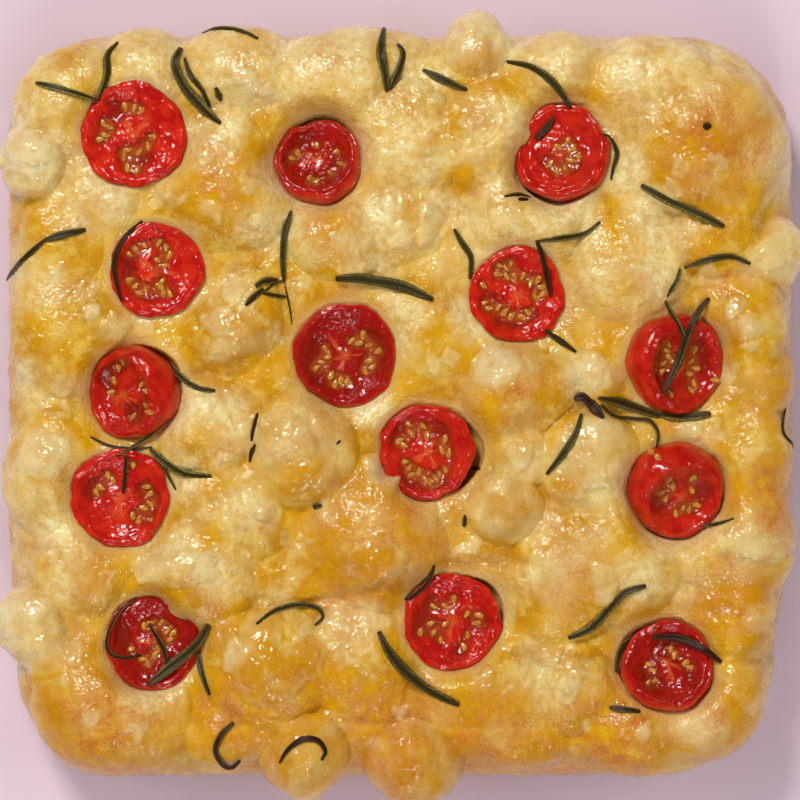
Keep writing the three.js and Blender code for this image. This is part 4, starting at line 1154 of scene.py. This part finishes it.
def smooth_path(corners, count):
    """Points evenly spaced along a curve through the corners. Between two corners it is a cubic
    whose slope at each corner is half the step from the one before to the one after."""
    corners = np.array(corners, float)
    slopes = np.gradient(corners, axis=0)
    pieces = []
    for k in range(len(corners) - 1):
        s = np.linspace(0, 1, PATH_STEPS, endpoint=False)[:, None]
        start, end, leave, arrive = corners[k], corners[k + 1], slopes[k], slopes[k + 1]
        pieces.append(
            (2 * s ** 3 - 3 * s ** 2 + 1) * start + (s ** 3 - 2 * s ** 2 + s) * leave
            + (3 * s ** 2 - 2 * s ** 3) * end + (s ** 3 - s ** 2) * arrive
        )
    fine = np.concatenate([*pieces, corners[-1:]])
    run = np.concatenate([[0], np.cumsum(np.hypot(*np.diff(fine, axis=0).T))])
    even = np.linspace(0, run[-1], count)
    return np.stack([np.interp(even, run, fine[:, k]) for k in range(2)], axis=1)


def laid_on(ground, turns):
    """The line of a stiff needle on uneven ground: again and again each point moves to the mean
    of its neighbours, and never below the ground."""
    line = ground.copy()
    for _ in range(turns):
        line[1:-1] = np.maximum(ground[1:-1], (line[:-2] + line[2:]) / 2)
        line[0] = max(ground[0], 2 * line[1] - line[2] - 0.1)
        line[-1] = max(ground[-1], 2 * line[-2] - line[-3] - 0.1)
    return line


def rosemary(ground, material):
    """Every needle in one piece. A needle is a ring of points carried along its path: a flat
    oval with a groove on top, as wide as the root of sin along it, with blunt ends. Its edges
    are marked as ridges. The order of its rings makes the faces point inwards, a known fault."""
    rng = np.random.default_rng(8)
    share = np.linspace(0, 1, NEEDLE_ROWS)
    around = np.arange(NEEDLE_SIDES) / NEEDLE_SIDES * TURN
    groove = 0.5 * np.exp(-(np.cos(around) / 0.3) ** 2) * (np.sin(around) > 0)
    # upper rolled edges, coloured olive, partly as painted highlight
    rolled = smoothstep(abs(np.cos(around)), 0.3, 0.75) * (np.sin(around) > 0.1)
    ends = np.maximum(smoothstep(share, 0.85, 1), 1 - smoothstep(share, 0, 0.12))
    numbers = np.arange(NEEDLE_ROWS * NEEDLE_SIDES).reshape(NEEDLE_ROWS, NEEDLE_SIDES)
    quads = np.concatenate([band(numbers[k + 1], numbers[k]) for k in range(NEEDLE_ROWS - 1)])
    all_points, all_quads, all_caps, marks = [], [], [], {"dry": [], "tip": [], "ridge_and_highlight": []}
    count = 0
    for width, dry, *corners in NEEDLES:
        plan = smooth_path([from_plan(*corner) for corner in corners], NEEDLE_ROWS)
        thick = max(width * NEEDLE_THICKNESS, THINNEST)
        girth = np.sin(np.pi * mix(0.06, 0.94, share)) ** 0.5 * (1 + 0.08 * np.sin(9 * share + count))
        line = laid_on(ground(plan), STIFFNESS) + thick * 0.3
        spine = np.column_stack([plan, line])
        heading = np.gradient(spine, axis=0)
        heading /= np.linalg.norm(heading, axis=1, keepdims=True)
        side = np.cross((0, 0, 1), heading)
        side /= np.linalg.norm(side, axis=1, keepdims=True)
        up = np.cross(heading, side)
        roll = rng.normal(0, 0.25) + rng.normal(0, 0.5) * (share - 0.5)
        across = np.cos(around)[None, :] * (width / 2 * girth)[:, None]
        lift = (np.sin(around) - groove)[None, :] * (thick / 2 * girth)[:, None]
        cos, sin = np.cos(roll)[:, None], np.sin(roll)[:, None]
        flat, tall = across * cos - lift * sin, across * sin + lift * cos
        body = spine[:, None, :] + side[:, None, :] * flat[..., None] + up[:, None, :] * tall[..., None]
        all_points.append(body.reshape(-1, 3))
        all_quads.append(quads + count)
        all_caps += [numbers[:1] + count, numbers[-1:, ::-1] + count]
        marks["dry"].append(np.full(numbers.size, np.clip(dry + rng.normal(0, 0.05), 0, 1)))
        marks["tip"].append(ends.repeat(NEEDLE_SIDES))
        marks["ridge_and_highlight"].append(np.tile(rolled * rng.uniform(0.3, 1), NEEDLE_ROWS))
        count += numbers.size
    return make_piece(
        "rosemary_needles", np.concatenate(all_points), [np.concatenate(all_quads), *all_caps],
        material, {key: np.concatenate(values) for key, values in marks.items()},
    )


# ---------------------------------------------------------------- surroundings

CAMERA_HEIGHT = 1.0  # metres above the board
CAMERA_BACK = 0.0015  # metres
TOP_PLANE = 0.031  # height at which a pixel spans PIXEL
PIXEL = 0.00025  # metres
PICTURE = 800  # pixels each way
SENSOR = 36  # millimetres
BOARD_SIZE = 3  # metres
BOARD_DROP = 0.0002  # metres, so that it doesn't share the base's plane


def camera():
    """Straight above the slab, with +Y up in the picture."""
    data = bpy.data.cameras.new("camera")
    data.sensor_width = SENSOR
    data.lens = SENSOR * (CAMERA_HEIGHT - TOP_PLANE) / (PICTURE * PIXEL)
    made = bpy.data.objects.new("camera", data)
    made.location = (0, CAMERA_BACK, CAMERA_HEIGHT)
    bpy.context.scene.collection.objects.link(made)
    bpy.context.scene.camera = made


def lamp(name, place, size, watts, colour="#ffffff", mirrored=True):
    """A square soft light that faces the slab, and whether wet things mirror it."""
    data = bpy.data.lights.new(name, "AREA")
    data.size, data.energy, data.color = size, watts, srgb(colour)[:3]
    made = bpy.data.objects.new(name, data)
    made.location = place
    made.rotation_euler = (-Vector(place)).to_track_quat("-Z", "Y").to_euler()
    made.visible_glossy = mirrored
    bpy.context.scene.collection.objects.link(made)


def surroundings():
    """The board, a dim room, one large window behind the slab, and what its light comes back
    from: soft fills that wet things don't mirror, and a doorway in front that they do."""
    bpy.ops.mesh.primitive_plane_add(size=BOARD_SIZE, location=(0, 0, -BOARD_DROP))
    board = bpy.context.object
    board.name = "board"
    board.data.materials.append(painted_board())
    world = bpy.data.worlds.new("studio")
    world.use_nodes = True
    room = world.node_tree.nodes["Background"].inputs
    room["Color"].default_value, room["Strength"].default_value = srgb("#f2f0ee"), 0.09
    bpy.context.scene.world = world
    lamp("window", (-0.52, 1.12, 1.42), 0.44, 22.0, "#fffaf2")
    lamp("left", (-1, 0.1, 0.9), 0.8, 3.4, mirrored=False)
    lamp("right", (1, 0.1, 0.9), 0.8, 4.2, mirrored=False)
    lamp("front", (0, -1, 1), 0.8, 5.4, mirrored=False)
    lamp("doorway", (0.15, -1.1, 0.9), 0.22, 2.5)
    camera()
    bpy.context.scene.view_settings.view_transform = "Standard"


crust = bread()
tomato_finish = roasted_tomato()
halves = [tomato_half(tomato, tomato_finish) for tomato in tomatoes]
seeds(halves, tomato_seed())
rosemary(surface_below([*crust, *halves]), baked_rosemary())
surroundings()
